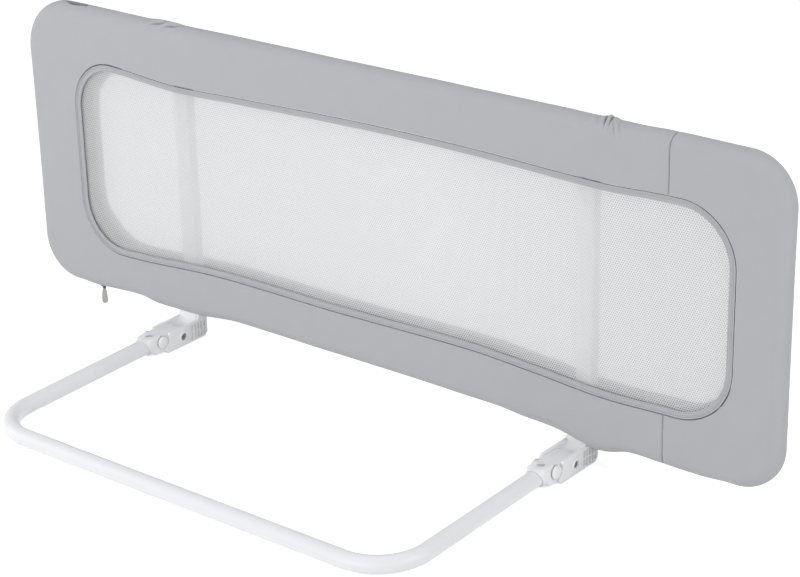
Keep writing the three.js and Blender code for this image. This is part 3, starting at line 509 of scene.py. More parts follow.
def edit(piece: bpy.types.Object, select: str = "SELECT") -> None:
    """Opens a piece in edit mode.

    Args:
        piece: The mesh object.
        select: What to do with its selection: SELECT or DESELECT.
    """
    pick(piece)
    bpy.ops.object.mode_set(mode="EDIT")
    bpy.ops.mesh.select_all(action=select)


def close_edit() -> None:
    """Goes back to object mode."""
    bpy.ops.object.mode_set(mode="OBJECT")


def apply_modifiers(piece: bpy.types.Object) -> None:
    """Applies every modifier of a piece in order.

    Args:
        piece: The mesh object.
    """
    pick(piece)
    for modifier in list(piece.modifiers):
        bpy.ops.object.modifier_apply(modifier=modifier.name)


def settle(piece: bpy.types.Object, angle: float = 35.0) -> None:
    """Puts a finished piece's place into its mesh and smooths it up to an angle.

    Args:
        piece: The mesh object.
        angle: The widest angle in degrees that is still shaded smooth.
    """
    pick(piece)
    bpy.ops.object.transform_apply(location=True, rotation=True, scale=True)
    bpy.ops.object.shade_smooth_by_angle(angle=math.radians(angle))


def recalculate(piece: bpy.types.Object) -> None:
    """Merges a closed piece's doubles and turns its faces outwards.

    Args:
        piece: The mesh object.
    """
    edit(piece)
    bpy.ops.mesh.remove_doubles(threshold=1e-6)
    bpy.ops.mesh.normals_make_consistent(inside=False)
    close_edit()


def paint(piece: bpy.types.Object, material: bpy.types.Material) -> None:
    """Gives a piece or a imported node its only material.

    Args:
        piece: The mesh object.
        material: The finish.
    """
    piece.data.materials.clear()
    piece.data.materials.append(material)


def dress(piece: bpy.types.Object, material: bpy.types.Material, slot: str, body: Union[Body, str],
          *nodes: str) -> bpy.types.Object:
    """Gives a piece its material, its body and the nodes that it stands for.

    Args:
        piece: The mesh object.
        material: Its finish.
        slot: A material slot's name. It is not used.
        body: The rigid body that it moves with.
        *nodes: The nodes that it replaces.

    Returns:
        The same piece.
    """
    paint(piece, material)
    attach(piece, body.value if isinstance(body, Body) else body)
    if nodes:
        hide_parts(*nodes)
    LOG.info("%s: %d faces", piece.name, len(piece.data.polygons))
    return piece


def new_piece(name: str, corners: Sequence, faces: Sequence) -> bpy.types.Object:
    """Makes a mesh object from its corners and faces.

    Args:
        name: The object's name.
        corners: The corners' places in metres.
        faces: The corners of each face.

    Returns:
        The new object.
    """
    mesh = bpy.data.meshes.new(name)
    mesh.from_pydata(corners, [], faces)
    mesh.update()
    piece = bpy.data.objects.new(name, mesh)
    bpy.context.scene.collection.objects.link(piece)
    return piece


def sheet_mesh(name: str, points: np.ndarray, closed: Tuple[bool, bool] = (False, False),
               gone: Optional[np.ndarray] = None) -> bpy.types.Object:
    """Makes a mesh of four-sided faces over a grid of points.

    Args:
        name: The object's name.
        points: An array of rows by columns by three, in metres.
        closed: Whether the rows, and the columns, join up into a ring.
        gone: Marks the faces that are left out.

    Returns:
        The new object.
    """
    rows, columns = points.shape[:2]
    index = np.arange(rows * columns).reshape(rows, columns)
    if closed[0]:
        index = np.vstack([index, index[:1]])
    if closed[1]:
        index = np.hstack([index, index[:, :1]])
    faces = np.stack([index[:-1, :-1], index[1:, :-1], index[1:, 1:], index[:-1, 1:]], -1)
    faces = faces.reshape(-1, 4) if gone is None else faces[~gone]
    return new_piece(name, points.reshape(-1, 3).tolist(), faces.tolist())


def thicken(piece: bpy.types.Object, wall: float, offset: float) -> None:
    """Gives a sheet its thickness.

    Args:
        piece: The sheet.
        wall: The thickness.
        offset: Minus one for inwards only, nought for both ways.
    """
    solid = piece.modifiers.new("wall", "SOLIDIFY")
    solid.thickness = wall
    solid.offset = offset
    apply_modifiers(piece)


def smooth_curve(keys: Sequence[Vec2], at: np.ndarray) -> np.ndarray:
    """Runs a smooth line through a few key points.

    Args:
        keys: Pairs of place and height, in rising order of place.
        at: Places to read the height at.

    Returns:
        The heights.
    """
    places = np.array([k[0] for k in keys])
    heights = np.array([k[1] for k in keys])
    slopes = np.gradient(heights, places)
    slopes[1:-1] = (heights[2:] - heights[:-2]) / (places[2:] - places[:-2])
    slot_index = np.clip(np.searchsorted(places, at) - 1, 0, len(places) - 2)
    run = places[slot_index + 1] - places[slot_index]
    t = np.clip((at - places[slot_index]) / run, 0.0, 1.0)
    low, high = heights[slot_index], heights[slot_index + 1]
    rise = (2 * t**3 - 3 * t**2 + 1) * low + (t**3 - 2 * t**2 + t) * slopes[slot_index] * run
    return rise + (-2 * t**3 + 3 * t**2) * high + (t**3 - t**2) * slopes[slot_index + 1] * run


def resample(path: np.ndarray, count: int) -> np.ndarray:
    """Spreads points evenly along a path.

    Args:
        path: An array of points.
        count: How many points to return, both ends included.

    Returns:
        The evenly spaced points.
    """
    steps = np.linalg.norm(np.diff(path, axis=0), axis=1)
    run = np.concatenate([[0.0], np.cumsum(steps)])
    wanted = np.linspace(0.0, run[-1], count)
    return np.stack([np.interp(wanted, run, path[:, i]) for i in range(path.shape[1])], -1)


def joined(paths: Sequence[np.ndarray]) -> np.ndarray:
    """Joins paths end to end.

    Args:
        paths: The paths. Each starts on the last point of the one before.

    Returns:
        One path without doubled points.
    """
    return np.vstack([path if i == 0 else path[1:] for i, path in enumerate(paths)])


def arc(centre: Vec2, radius: float, start: float, end: float, count: int = 25) -> np.ndarray:
    """Points on an arc in X and Z.

    Args:
        centre: Its centre.
        radius: Its radius.
        start: Its first angle in degrees, from +X towards +Z.
        end: Its last angle in degrees.
        count: How many points.

    Returns:
        The points.
    """
    turn = np.radians(np.linspace(start, end, count))
    return np.stack([centre[0] + radius * np.cos(turn), centre[1] + radius * np.sin(turn)], -1)


@dataclass
class PanelPlan:
    """The panel's outlines in X and Z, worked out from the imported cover.

    Attributes:
        corners: Radius of each of the panel's corners.
        window_corner: Radius of the windows' corners.
        hem: Places along the rail and how far the hem lies above the cover's lowest edge there. The
            cloth is pulled up between the posts and sags over the right hinge.
        crest: Places along the rail and how far the top edge lies above its straight line there.
        window_top: Shares along the window and of the panel's height, for the top of the window.
        window_bottom: The same for the bottom of the window.
        fit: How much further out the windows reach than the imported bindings.
    """

    corners: Dict[Tuple[End, Edge], float] = field(default_factory=lambda: {
        (End.LEFT, Edge.TOP): 76 * MM, (End.RIGHT, Edge.TOP): 62 * MM,
        (End.RIGHT, Edge.BOTTOM): 57 * MM, (End.LEFT, Edge.BOTTOM): 60 * MM})
    window_corner: float = 75 * MM
    hem: Tuple[Vec2, ...] = (
        (-0.53, 0), (-0.5, -1), (-0.455, 2.5), (-0.41, 4.5), (-0.385, 0.5), (-0.35, 0.5), (-0.3, 1.5),
        (-0.275, 4), (-0.24, 7.6), (-0.2, 8), (0, 7.6), (0.2, 6.8), (0.24, 3.5), (0.28, 1.5), (0.3, -1),
        (0.325, -7), (0.35, -10.5), (0.37, -8), (0.395, -1), (0.44, -1.5), (0.5, -2), (0.53, 0))
    crest: Tuple[Vec2, ...] = (
        (-0.53, 0), (-0.44, -0.3), (-0.38, -0.6), (-0.33, -0.6), (-0.28, -0.4), (0, 0), (0.2, 0.6),
        (0.3, 0.5), (0.33, -0.4), (0.4, -0.4), (0.44, 1), (0.53, 0))
    window_top: Tuple[Vec2, ...] = (
        (-1, 0.832), (-0.8, 0.822), (-0.62, 0.808), (-0.42, 0.817), (0, 0.834), (0.32, 0.835),
        (0.66, 0.824), (0.83, 0.833), (1, 0.832))
    window_bottom: Tuple[Vec2, ...] = (
        (-1, 0.148), (-0.8, 0.153), (-0.5, 0.177), (-0.1, 0.178), (0.3, 0.187), (0.48, 0.176),
        (0.67, 0.16), (0.84, 0.166), (1, 0.17))
    fit: float = 0.3 * MM

    def __post_init__(self) -> None:
        """Reads the panel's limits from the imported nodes."""
        low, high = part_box("cover_right_end")
        self.half_length = high.x
        self.bottom = low.z
        self.top = high.z
        self.middle_y = (low.y + high.y) / 2
        self.radius = (high.y - low.y) / 2
        self.seam = low.x
        post_low, post_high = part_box("right_upright")
        self.post = (post_low.x + post_high.x) / 2
        self.middle_z = (self.bottom + self.top) / 2
        tape_low, tape_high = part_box("front_binding")
        self.reach = {End.LEFT: self.fit - tape_low.x, End.RIGHT: tape_high.x + self.fit}

    def long_edge(self, edge: Edge, x: np.ndarray) -> np.ndarray:
        """Height of the panel's top or bottom edge, its corners left aside.

        Args:
            edge: Top or bottom.
            x: Places along the rail.

        Returns:
            The heights.
        """
        keys = self.crest if edge is Edge.TOP else self.hem
        base = self.top if edge is Edge.TOP else self.bottom
        return base + smooth_curve(keys, x) * MM

    def window_height(self, edge: Edge, x: np.ndarray) -> np.ndarray:
        """Height of the windows' long edge, its corners included.

        Args:
            edge: Top or bottom.
            x: Places along the rail, inside the window.

        Returns:
            The heights.
        """
        keys = self.window_top if edge is Edge.TOP else self.window_bottom
        share = np.where(x < 0, x / self.reach[End.LEFT], x / self.reach[End.RIGHT])
        height = self.bottom + smooth_curve(keys, share) * (self.top - self.bottom)
        for end in End:
            into = self.window_corner - (self.reach[end] - end.value * x)
            lean = np.clip(into / self.window_corner, 0.0, 1.0)
            height = height - edge.value * self.window_corner * (1 - np.sqrt(1 - lean**2))
        return height

    def window_end(self, end: End, start: float, count: int) -> List[np.ndarray]:
        """The windows' outline round one end, in three stretches from top to bottom.

        Args:
            end: Left or right.
            start: Distance from the middle where the outline starts and ends.
            count: Points in each stretch.

        Returns:
            The corner above, the side and the corner below.
        """
        reach = self.reach[end]
        turn = np.linspace(0.0, np.pi / 2, 60)
        away = np.unique(np.concatenate([
            np.linspace(start, max(start, reach - self.window_corner), 5),
            np.maximum(start, reach - self.window_corner * (1 - np.sin(turn)))]))
        x = end.value * away
        upper = np.stack([x, self.window_height(Edge.TOP, x)], -1)
        lower = np.stack([x, self.window_height(Edge.BOTTOM, x)], -1)[::-1]
        side = np.stack([upper[-1], lower[0]])
        return [resample(path, count) for path in (upper, side, lower)]

    def outer_end(self, end: End, start: float, count: int) -> List[np.ndarray]:
        """The panel's outline round one end, in the same three stretches.

        Args:
            end: Left or right.
            start: Distance from the middle where the outline starts and ends.
            count: Points in each stretch.

        Returns:
            The corner above, the side and the corner below.
        """
        above, below = self.corners[(end, Edge.TOP)], self.corners[(end, Edge.BOTTOM)]
        along = np.linspace(start, self.half_length - above, 24)[:-1]
        upper = np.stack([along, self.long_edge(Edge.TOP, end.value * along)], -1)
        turn = arc((self.half_length - above, self.top - above), above, 90, 0)
        upper = np.vstack([upper, turn])
        along = np.linspace(self.half_length - below, start, 24)[1:]
        lower = np.stack([along, self.long_edge(Edge.BOTTOM, end.value * along)], -1)
        turn = arc((self.half_length - below, self.bottom + below), below, 0, -90)
        lower = np.vstack([turn, lower])
        side = np.stack([upper[-1], lower[0]])
        paths = [resample(path, count) for path in (upper, side, lower)]
        return [path * [end.value, 1.0] for path in paths]


def outward_normals(outer: np.ndarray, plan: PanelPlan) -> np.ndarray:
    """Directions in which the cloth rolls over the panel's edge.

    Args:
        outer: The panel's outline at each station, in X and Z.
        plan: The panel's outlines.

    Returns:
        One unit direction for each station: straight up or down on the long edges, outwards at the ends.
    """
    radius = np.array([
        plan.corners[(End.LEFT if x < 0 else End.RIGHT, Edge.TOP if z > plan.middle_z else Edge.BOTTOM)]
        for x, z in outer])
    core_x = np.clip(outer[:, 0], radius - plan.half_length, plan.half_length - radius)
    core_z = np.clip(outer[:, 1], plan.bottom + radius, plan.top - radius)
    away = outer - np.stack([core_x, core_z], -1)
    return away / np.linalg.norm(away, axis=1, keepdims=True)


@dataclass(frozen=True)
class Pucker:
    """A bunch of small folds where the cloth is gathered over a fitting.

    Attributes:
        place: Its middle in X and Z on the cloth laid out flat, in metres.
        reach: How far it spreads along X and Z, in metres.
        pitch: Distance between its folds in metres.
        lean: Direction across the folds, in degrees from X.
        height: Height of its folds in metres.
        valley: Share of a fold's height below which it lies in shade.
    """

    place: Vec2
    reach: Vec2
    pitch: float
    lean: float
    height: float
    valley: float = 0.0

    def folds(self, x: np.ndarray, z: np.ndarray) -> Tuple[np.ndarray, np.ndarray]:
        """How strong the folds are, and where their crests and valleys lie.

        Args:
            x: Places along the rail.
            z: Heights on the cloth laid out flat.

        Returns:
            The strength at each place, and a wave that is one on a crest and nought in a valley.
        """
        along, up = x - self.place[0], z - self.place[1]
        fade = np.exp(-(along / self.reach[0])**2 - (up / self.reach[1])**2)
        lean = math.radians(self.lean)
        across = along * math.cos(lean) + up * math.sin(lean)
        bent = across + 0.25 * self.pitch * np.sin(along / self.reach[0] * 2)
        return fade, np.abs(np.cos(np.pi * bent / self.pitch))

    def lift(self, x: np.ndarray, z: np.ndarray) -> np.ndarray:
        """How far the folds stand off the cloth.

        Args:
            x: Places along the rail.
            z: Heights on the cloth laid out flat.

        Returns:
            The height of the folds at each place.
        """
        fade, wave = self.folds(x, z)
        return self.height * fade * wave**0.8

    def crease_shade(self, x: np.ndarray, z: np.ndarray) -> np.ndarray:
        """How deep in a valley between two folds each place lies.

        Args:
            x: Places along the rail.
            z: Heights on the cloth laid out flat.

        Returns:
            From nought to one: how much shade is painted there.
        """
        fade, wave = self.folds(x, z)
        return fade * np.clip(1 - wave / self.valley, 0, 1) if self.valley else 0 * fade


@dataclass
class Cover:
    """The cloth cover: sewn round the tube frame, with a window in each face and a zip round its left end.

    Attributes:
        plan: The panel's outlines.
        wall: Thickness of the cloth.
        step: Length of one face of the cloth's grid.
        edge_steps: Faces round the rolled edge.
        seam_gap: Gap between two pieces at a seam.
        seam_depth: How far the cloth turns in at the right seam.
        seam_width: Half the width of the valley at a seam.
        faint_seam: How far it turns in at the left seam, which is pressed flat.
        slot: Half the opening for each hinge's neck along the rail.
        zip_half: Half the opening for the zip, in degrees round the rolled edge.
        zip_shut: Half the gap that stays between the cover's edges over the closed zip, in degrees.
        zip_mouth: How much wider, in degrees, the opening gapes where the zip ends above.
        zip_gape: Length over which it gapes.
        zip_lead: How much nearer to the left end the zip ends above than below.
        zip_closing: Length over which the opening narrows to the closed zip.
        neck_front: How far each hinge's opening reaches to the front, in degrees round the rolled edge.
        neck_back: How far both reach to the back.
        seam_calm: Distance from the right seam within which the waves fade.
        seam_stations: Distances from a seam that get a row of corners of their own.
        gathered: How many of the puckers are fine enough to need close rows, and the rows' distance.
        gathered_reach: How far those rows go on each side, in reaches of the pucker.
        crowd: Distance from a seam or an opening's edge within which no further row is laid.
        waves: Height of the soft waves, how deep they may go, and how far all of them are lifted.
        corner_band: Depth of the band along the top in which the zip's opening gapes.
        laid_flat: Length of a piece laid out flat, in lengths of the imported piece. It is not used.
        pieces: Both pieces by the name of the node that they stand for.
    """

    plan: PanelPlan
    wall: float = 1.2 * MM
    step: float = 5 * MM
    edge_steps: int = 48
    seam_gap: float = 0.3 * MM
    seam_depth: float = 1.4 * MM
    seam_width: float = 1.0 * MM
    faint_seam: float = 0.6 * MM
    slot: float = 18.6 * MM
    zip_half: float = 11.25
    zip_shut: float = 6.5
    zip_mouth: float = 19.0
    zip_gape: float = 41 * MM
    zip_lead: float = 9 * MM
    zip_closing: float = 10 * MM
    neck_front: Dict[End, float] = field(default_factory=lambda: {End.LEFT: 34.0, End.RIGHT: 57.0})
    neck_back: float = 34.0
    seam_calm: float = 12 * MM
    seam_stations: Tuple[float, ...] = (0.0, 0.4 * MM, 0.9 * MM, 1.5 * MM, 2.3 * MM, 3.4 * MM)
    gathered: Tuple[int, float] = (5, 1.0 * MM)
    gathered_reach: float = 1.6
    crowd: float = 1.4 * MM
    waves: Vec3 = (0.9 * MM, 0.3 * MM, 0.1 * MM)
    corner_band: float = 12 * MM
    laid_flat: float = 1.2
    pieces: Dict[str, bpy.types.Object] = field(default_factory=dict)

    def __post_init__(self) -> None:
        """Places the folds and reads the zip's ends."""
        plan = self.plan
        self.zip_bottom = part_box("zip_chain")[1].x
        self.zip_top = self.zip_bottom - self.zip_lead
        top, bottom = plan.top, plan.bottom
        self.puckers = [
            Pucker((-0.350, top + 5 * MM), (15 * MM, 8 * MM), 9.5 * MM, 118, 4.2 * MM, 0.5),
            Pucker((-0.325, top + 5 * MM), (13 * MM, 8 * MM), 9.0 * MM, 118, 4.6 * MM, 0.5),
            Pucker((0.359, top + 6 * MM), (9 * MM, 9 * MM), 10 * MM, 12, 5.6 * MM, 0.5),
            Pucker((0.340, top - 2 * MM), (10 * MM, 10 * MM), 9 * MM, 140, 2.4 * MM),
            Pucker((0.374, top - 4 * MM), (11 * MM, 11 * MM), 9 * MM, 35, 2.6 * MM),
            Pucker((-0.39, bottom + 14 * MM), (24 * MM, 16 * MM), 22 * MM, 115, 1.4 * MM),
            Pucker((0.345, bottom + 24 * MM), (34 * MM, 24 * MM), 30 * MM, 70, 1.6 * MM),
            Pucker((0.285, bottom + 30 * MM), (40 * MM, 22 * MM), 34 * MM, 120, 1.0 * MM),
        ]

    def stations_between(self, start: float, end: float) -> np.ndarray:
        """Places along a long edge, closer together at the seams, the folds and the necks' openings.

        Args:
            start: The first place along X.
            end: The last.

        Returns:
            The places, in order.
        """
        low, high = min(start, end), max(start, end)
        near = np.array(self.seam_stations)
        fixed = [side.value * self.plan.post + d for side in End for d in (-self.slot, self.slot)]
        fixed += [-self.plan.seam + d for d in np.concatenate([-near[1:], near])]
        evenly = np.linspace(low, high, int((high - low) / self.step))
        count, fine = self.gathered
        spread = self.gathered_reach
        folds = [np.arange(p.place[0] - spread * p.reach[0], p.place[0] + spread * p.reach[0], fine)
                 for p in self.puckers[:count]]
        places = np.sort(np.concatenate([evenly, high - near, *folds]))
        crowded = np.array([min(abs(x - f) for f in fixed) < self.crowd for x in places[1:-1]])
        places = np.concatenate([places[:1], places[1:-1][~crowded], places[-1:], fixed])
        places = np.unique(np.round(places[(places >= low) & (places <= high)], 6))
        return places if start < end else places[::-1]

    def relief(self, points: np.ndarray, laid_out: np.ndarray, face_side: np.ndarray) -> np.ndarray:
        """How far the stretched cloth stands off its ideal surface: long soft waves and gathered folds.

        Args:
            points: Places in X and Z, in metres.
            laid_out: The same places on the cloth laid out flat from the front face.
            face_side: Minus one on the front, one on the back, between them on the rolled edge.

        Returns:
            The height of each place in metres.
        """
        x, z = points[..., 0], points[..., 1]
        height, deep, raised = self.waves
        # Three waves cross, the shortest about 13 cm from crest to crest. They differ on the two faces.
        flip = 1.7 * face_side
        wave = 0.35 * np.sin(9.1 * x + 5.3 * z + flip) + 0.25 * np.sin(23 * x - 17 * z + 2.1 * flip)
        wave = wave + 0.2 * np.sin(41 * x + 29 * z - flip) * np.sin(13 * x - 7 * z)
        # The waves stand out rather than in, because the frame lies close under the cloth.
        lift = np.maximum(wave * height, -deep) + raised
        for pucker in self.puckers:
            lift = lift + pucker.lift(laid_out[..., 0], laid_out[..., 1])
        return lift

    def rolled_angles(self, outer: np.ndarray) -> np.ndarray:
        """Angles of the rows round the rolled edge. They part at the zip's gaping upper end.

        Args:
            outer: The panel's outline at each station.

        Returns:
            An array of stations by rows, in radians.
        """
        base = np.linspace(-90.0, 90.0, self.edge_steps + 1)[None, :]
        x, z = outer[:, 0:1], outer[:, 1:2]
        run = (x - self.zip_top + self.zip_gape) / self.zip_gape
        on_top = z > self.plan.top - self.corner_band
        gape = np.where(on_top, np.sin(np.pi * np.clip(run, 0, 1)), 0)
        zipped = np.where(z > self.plan.middle_z, self.zip_top, self.zip_bottom)
        shut = np.clip((zipped - x) / self.zip_closing, 0, 1)
        half = self.zip_half
        moved = half + (self.zip_shut - half) * shut + self.zip_mouth * gape
        away = moved + (np.abs(base) - half) * (90 - moved) / (90 - half)
        return np.radians(np.where(np.abs(base) >= half, np.sign(base) * away, base * moved / half))

    def skin(self, outer: np.ndarray, normals: np.ndarray,
             window: np.ndarray) -> Tuple[np.ndarray, np.ndarray, int]:
        """Runs the cloth from the front window over the rolled edge to the back window.

        Args:
            outer: The panel's outline in X and Z at each station.
            normals: Its outward direction at each station.
            window: The windows' edge at each station.

        Returns:
            An array of stations by points by three, how deep in a fold each point lies, which sets the
            painted shade there, and the number of rows on each flat face.
        """
        plan = self.plan
        inset = outer - normals * plan.radius
        flat = max(4, int(np.median(np.linalg.norm(inset - window, axis=1)) / self.step))
        shares = np.linspace(0.0, 1.0, flat + 1)[:-1]
        faces = window[:, None] + (inset - window)[:, None] * shares[None, :, None]
        angles = self.rolled_angles(outer)
        level = np.ones((len(outer), flat))
        swing = np.concatenate([0 * level, np.cos(angles), 0 * level], 1)
        side = np.concatenate([-level, np.sin(angles), level], 1)
        rolled = inset[:, None] + normals[:, None] * plan.radius * np.cos(angles)[..., None]
        places = np.concatenate([faces, rolled, faces[:, ::-1]], 1)
        grid = np.stack([places[..., 0], plan.middle_y + plan.radius * side, places[..., 1]], -1)
        facing = np.stack([normals[:, 0:1] * swing, side, normals[:, 1:2] * swing], -1)
        ease = np.ones(places.shape[1])
        ease[:flat] = np.minimum(1, np.linspace(0, 3, flat))
        ease[-flat:] = np.minimum(1, np.linspace(3, 0, flat))
        inward = np.linalg.norm(faces - inset[:, None], axis=2)
        swept = np.concatenate([
            -inward, plan.radius * (angles + np.pi / 2), np.pi * plan.radius + inward[:, ::-1]], 1)
        laid_out = inset[:, None] + normals[:, None] * swept[..., None]
        lift = self.relief(grid[..., [0, 2]], laid_out, side) * ease[None, :]
        # How much painted shade each point gets deep in a fold.
        crease_shade = sum(pucker.crease_shade(laid_out[..., 0], laid_out[..., 1]) for pucker in self.puckers)
        x = grid[..., 0]
        right, left = np.abs(x - plan.seam), np.abs(x + plan.seam)
        lift = lift * np.minimum(1, right / self.seam_calm)
        lift = lift - self.seam_depth * np.exp(-(right / self.seam_width)**2)
        pressed = np.where(grid[..., 2] > plan.middle_z, self.faint_seam, 0)
        lift = lift - pressed * np.exp(-(left / self.seam_width)**2)
        return grid + facing * lift[..., None], crease_shade, flat

    def main_stations(self) -> Tuple[np.ndarray, np.ndarray]:
        """Stations of the main piece: along the top, round the left end and back along the bottom.

        Returns:
            The panel's outline and the windows' edge at each station.
        """
        plan = self.plan
        start = plan.reach[End.LEFT] - plan.window_corner
        there = self.stations_between(plan.seam - self.seam_gap, -start)
        return self.with_long_edges(
            there, plan.outer_end(End.LEFT, start, 46), plan.window_end(End.LEFT, start, 46))

    def end_stations(self) -> Tuple[np.ndarray, np.ndarray]:
        """Stations of the right end piece, from its upper seam round to its lower one.

        Returns:
            The panel's outline and the windows' edge at each station.
        """
        plan = self.plan
        near = plan.seam + np.array(self.seam_stations)
        return self.with_long_edges(
            near, plan.outer_end(End.RIGHT, near[-1], 46), plan.window_end(End.RIGHT, near[-1], 46))

    def with_long_edges(self, there: np.ndarray, outer: List[np.ndarray],
                        window: List[np.ndarray]) -> Tuple[np.ndarray, np.ndarray]:
        """Leads both outlines in along the top and out along the bottom.

        Args:
            there: Places along X, up to where the end starts.
            outer: The panel's outline round the end.
            window: The windows' edge round it.

        Returns:
            Both outlines, each as one path.
        """
        both = []
        for end, height in ((outer, self.plan.long_edge), (window, self.plan.window_height)):
            back = there[::-1]
            lead_in = np.stack([there, height(Edge.TOP, there)], -1)
            both.append(joined([lead_in, *end, np.stack([back, height(Edge.BOTTOM, back)], -1)]))
        return both[0], both[1]

    def openings(self, outer: np.ndarray, columns: int, flat: int) -> np.ndarray:
        """Marks the faces left out for the zip and for the hinges' necks.

        Args:
            outer: The panel's outline at each station.
            columns: Points from window to window.
            flat: Rows on each flat face.

        Returns:
            True for each face that is left out.
        """
        plan = self.plan
        middle = (outer[:-1] + outer[1:]) / 2
        x, z = middle[:, 0:1], middle[:, 1:2]
        upper = z > plan.middle_z
        # The angle of each face round the rolled edge. The flat faces get one that no opening reaches.
        turn = np.full(columns - 1, 999.0)
        step = 180 / self.edge_steps
        turn[flat:flat + self.edge_steps] = -90 + step * (np.arange(self.edge_steps) + 0.5)
        gone = np.where(upper, x < self.zip_top, x < self.zip_bottom) & (np.abs(turn) < self.zip_half)
        for end in End:
            beside = (np.abs(x - end.value * plan.post) < self.slot) & ~upper
            gone = gone | (beside & (turn > -self.neck_front[end]) & (turn < self.neck_back))
        return gone

    def build(self) -> None:
        """Makes both pieces."""
        for name, (outer, window) in (
                ("cover_main", self.main_stations()), ("cover_right_end", self.end_stations())):
            grid, crease_shade, flat = self.skin(outer, outward_normals(outer, self.plan), window)
            piece = sheet_mesh("cloth_" + name, grid, gone=self.openings(outer, grid.shape[1], flat))
            # The painted shade in the folds, which the cover's material reads.
            depth = piece.data.attributes.new("crease_shade", "FLOAT", "POINT")
            depth.data.foreach_set("value", crease_shade.ravel())
            self.face_out(piece)
            thicken(piece, self.wall, -1.0)
            settle(piece, 60.0)
            self.pieces[name] = piece

    def face_out(self, piece: bpy.types.Object) -> None:
        """Turns an open piece's faces away from the panel's middle plane.

        Args:
            piece: The sheet.
        """
        middle = self.plan.middle_y
        outward = sum(
            p.area * p.normal.y * math.copysign(1, p.center.y - middle) for p in piece.data.polygons)
        if outward < 0:
            edit(piece)
            bpy.ops.mesh.flip_normals()
            close_edit()

    def dress(self, finishes: Finishes) -> None:
        """Args:
            finishes: The shared finishes.
        """
        for name, bow in (("cover_main", "left_end_bow"), ("cover_right_end", "right_end_bow")):
            piece = dress(self.pieces[name], finishes.cover, "cover_fabric", Body.PANEL, name)


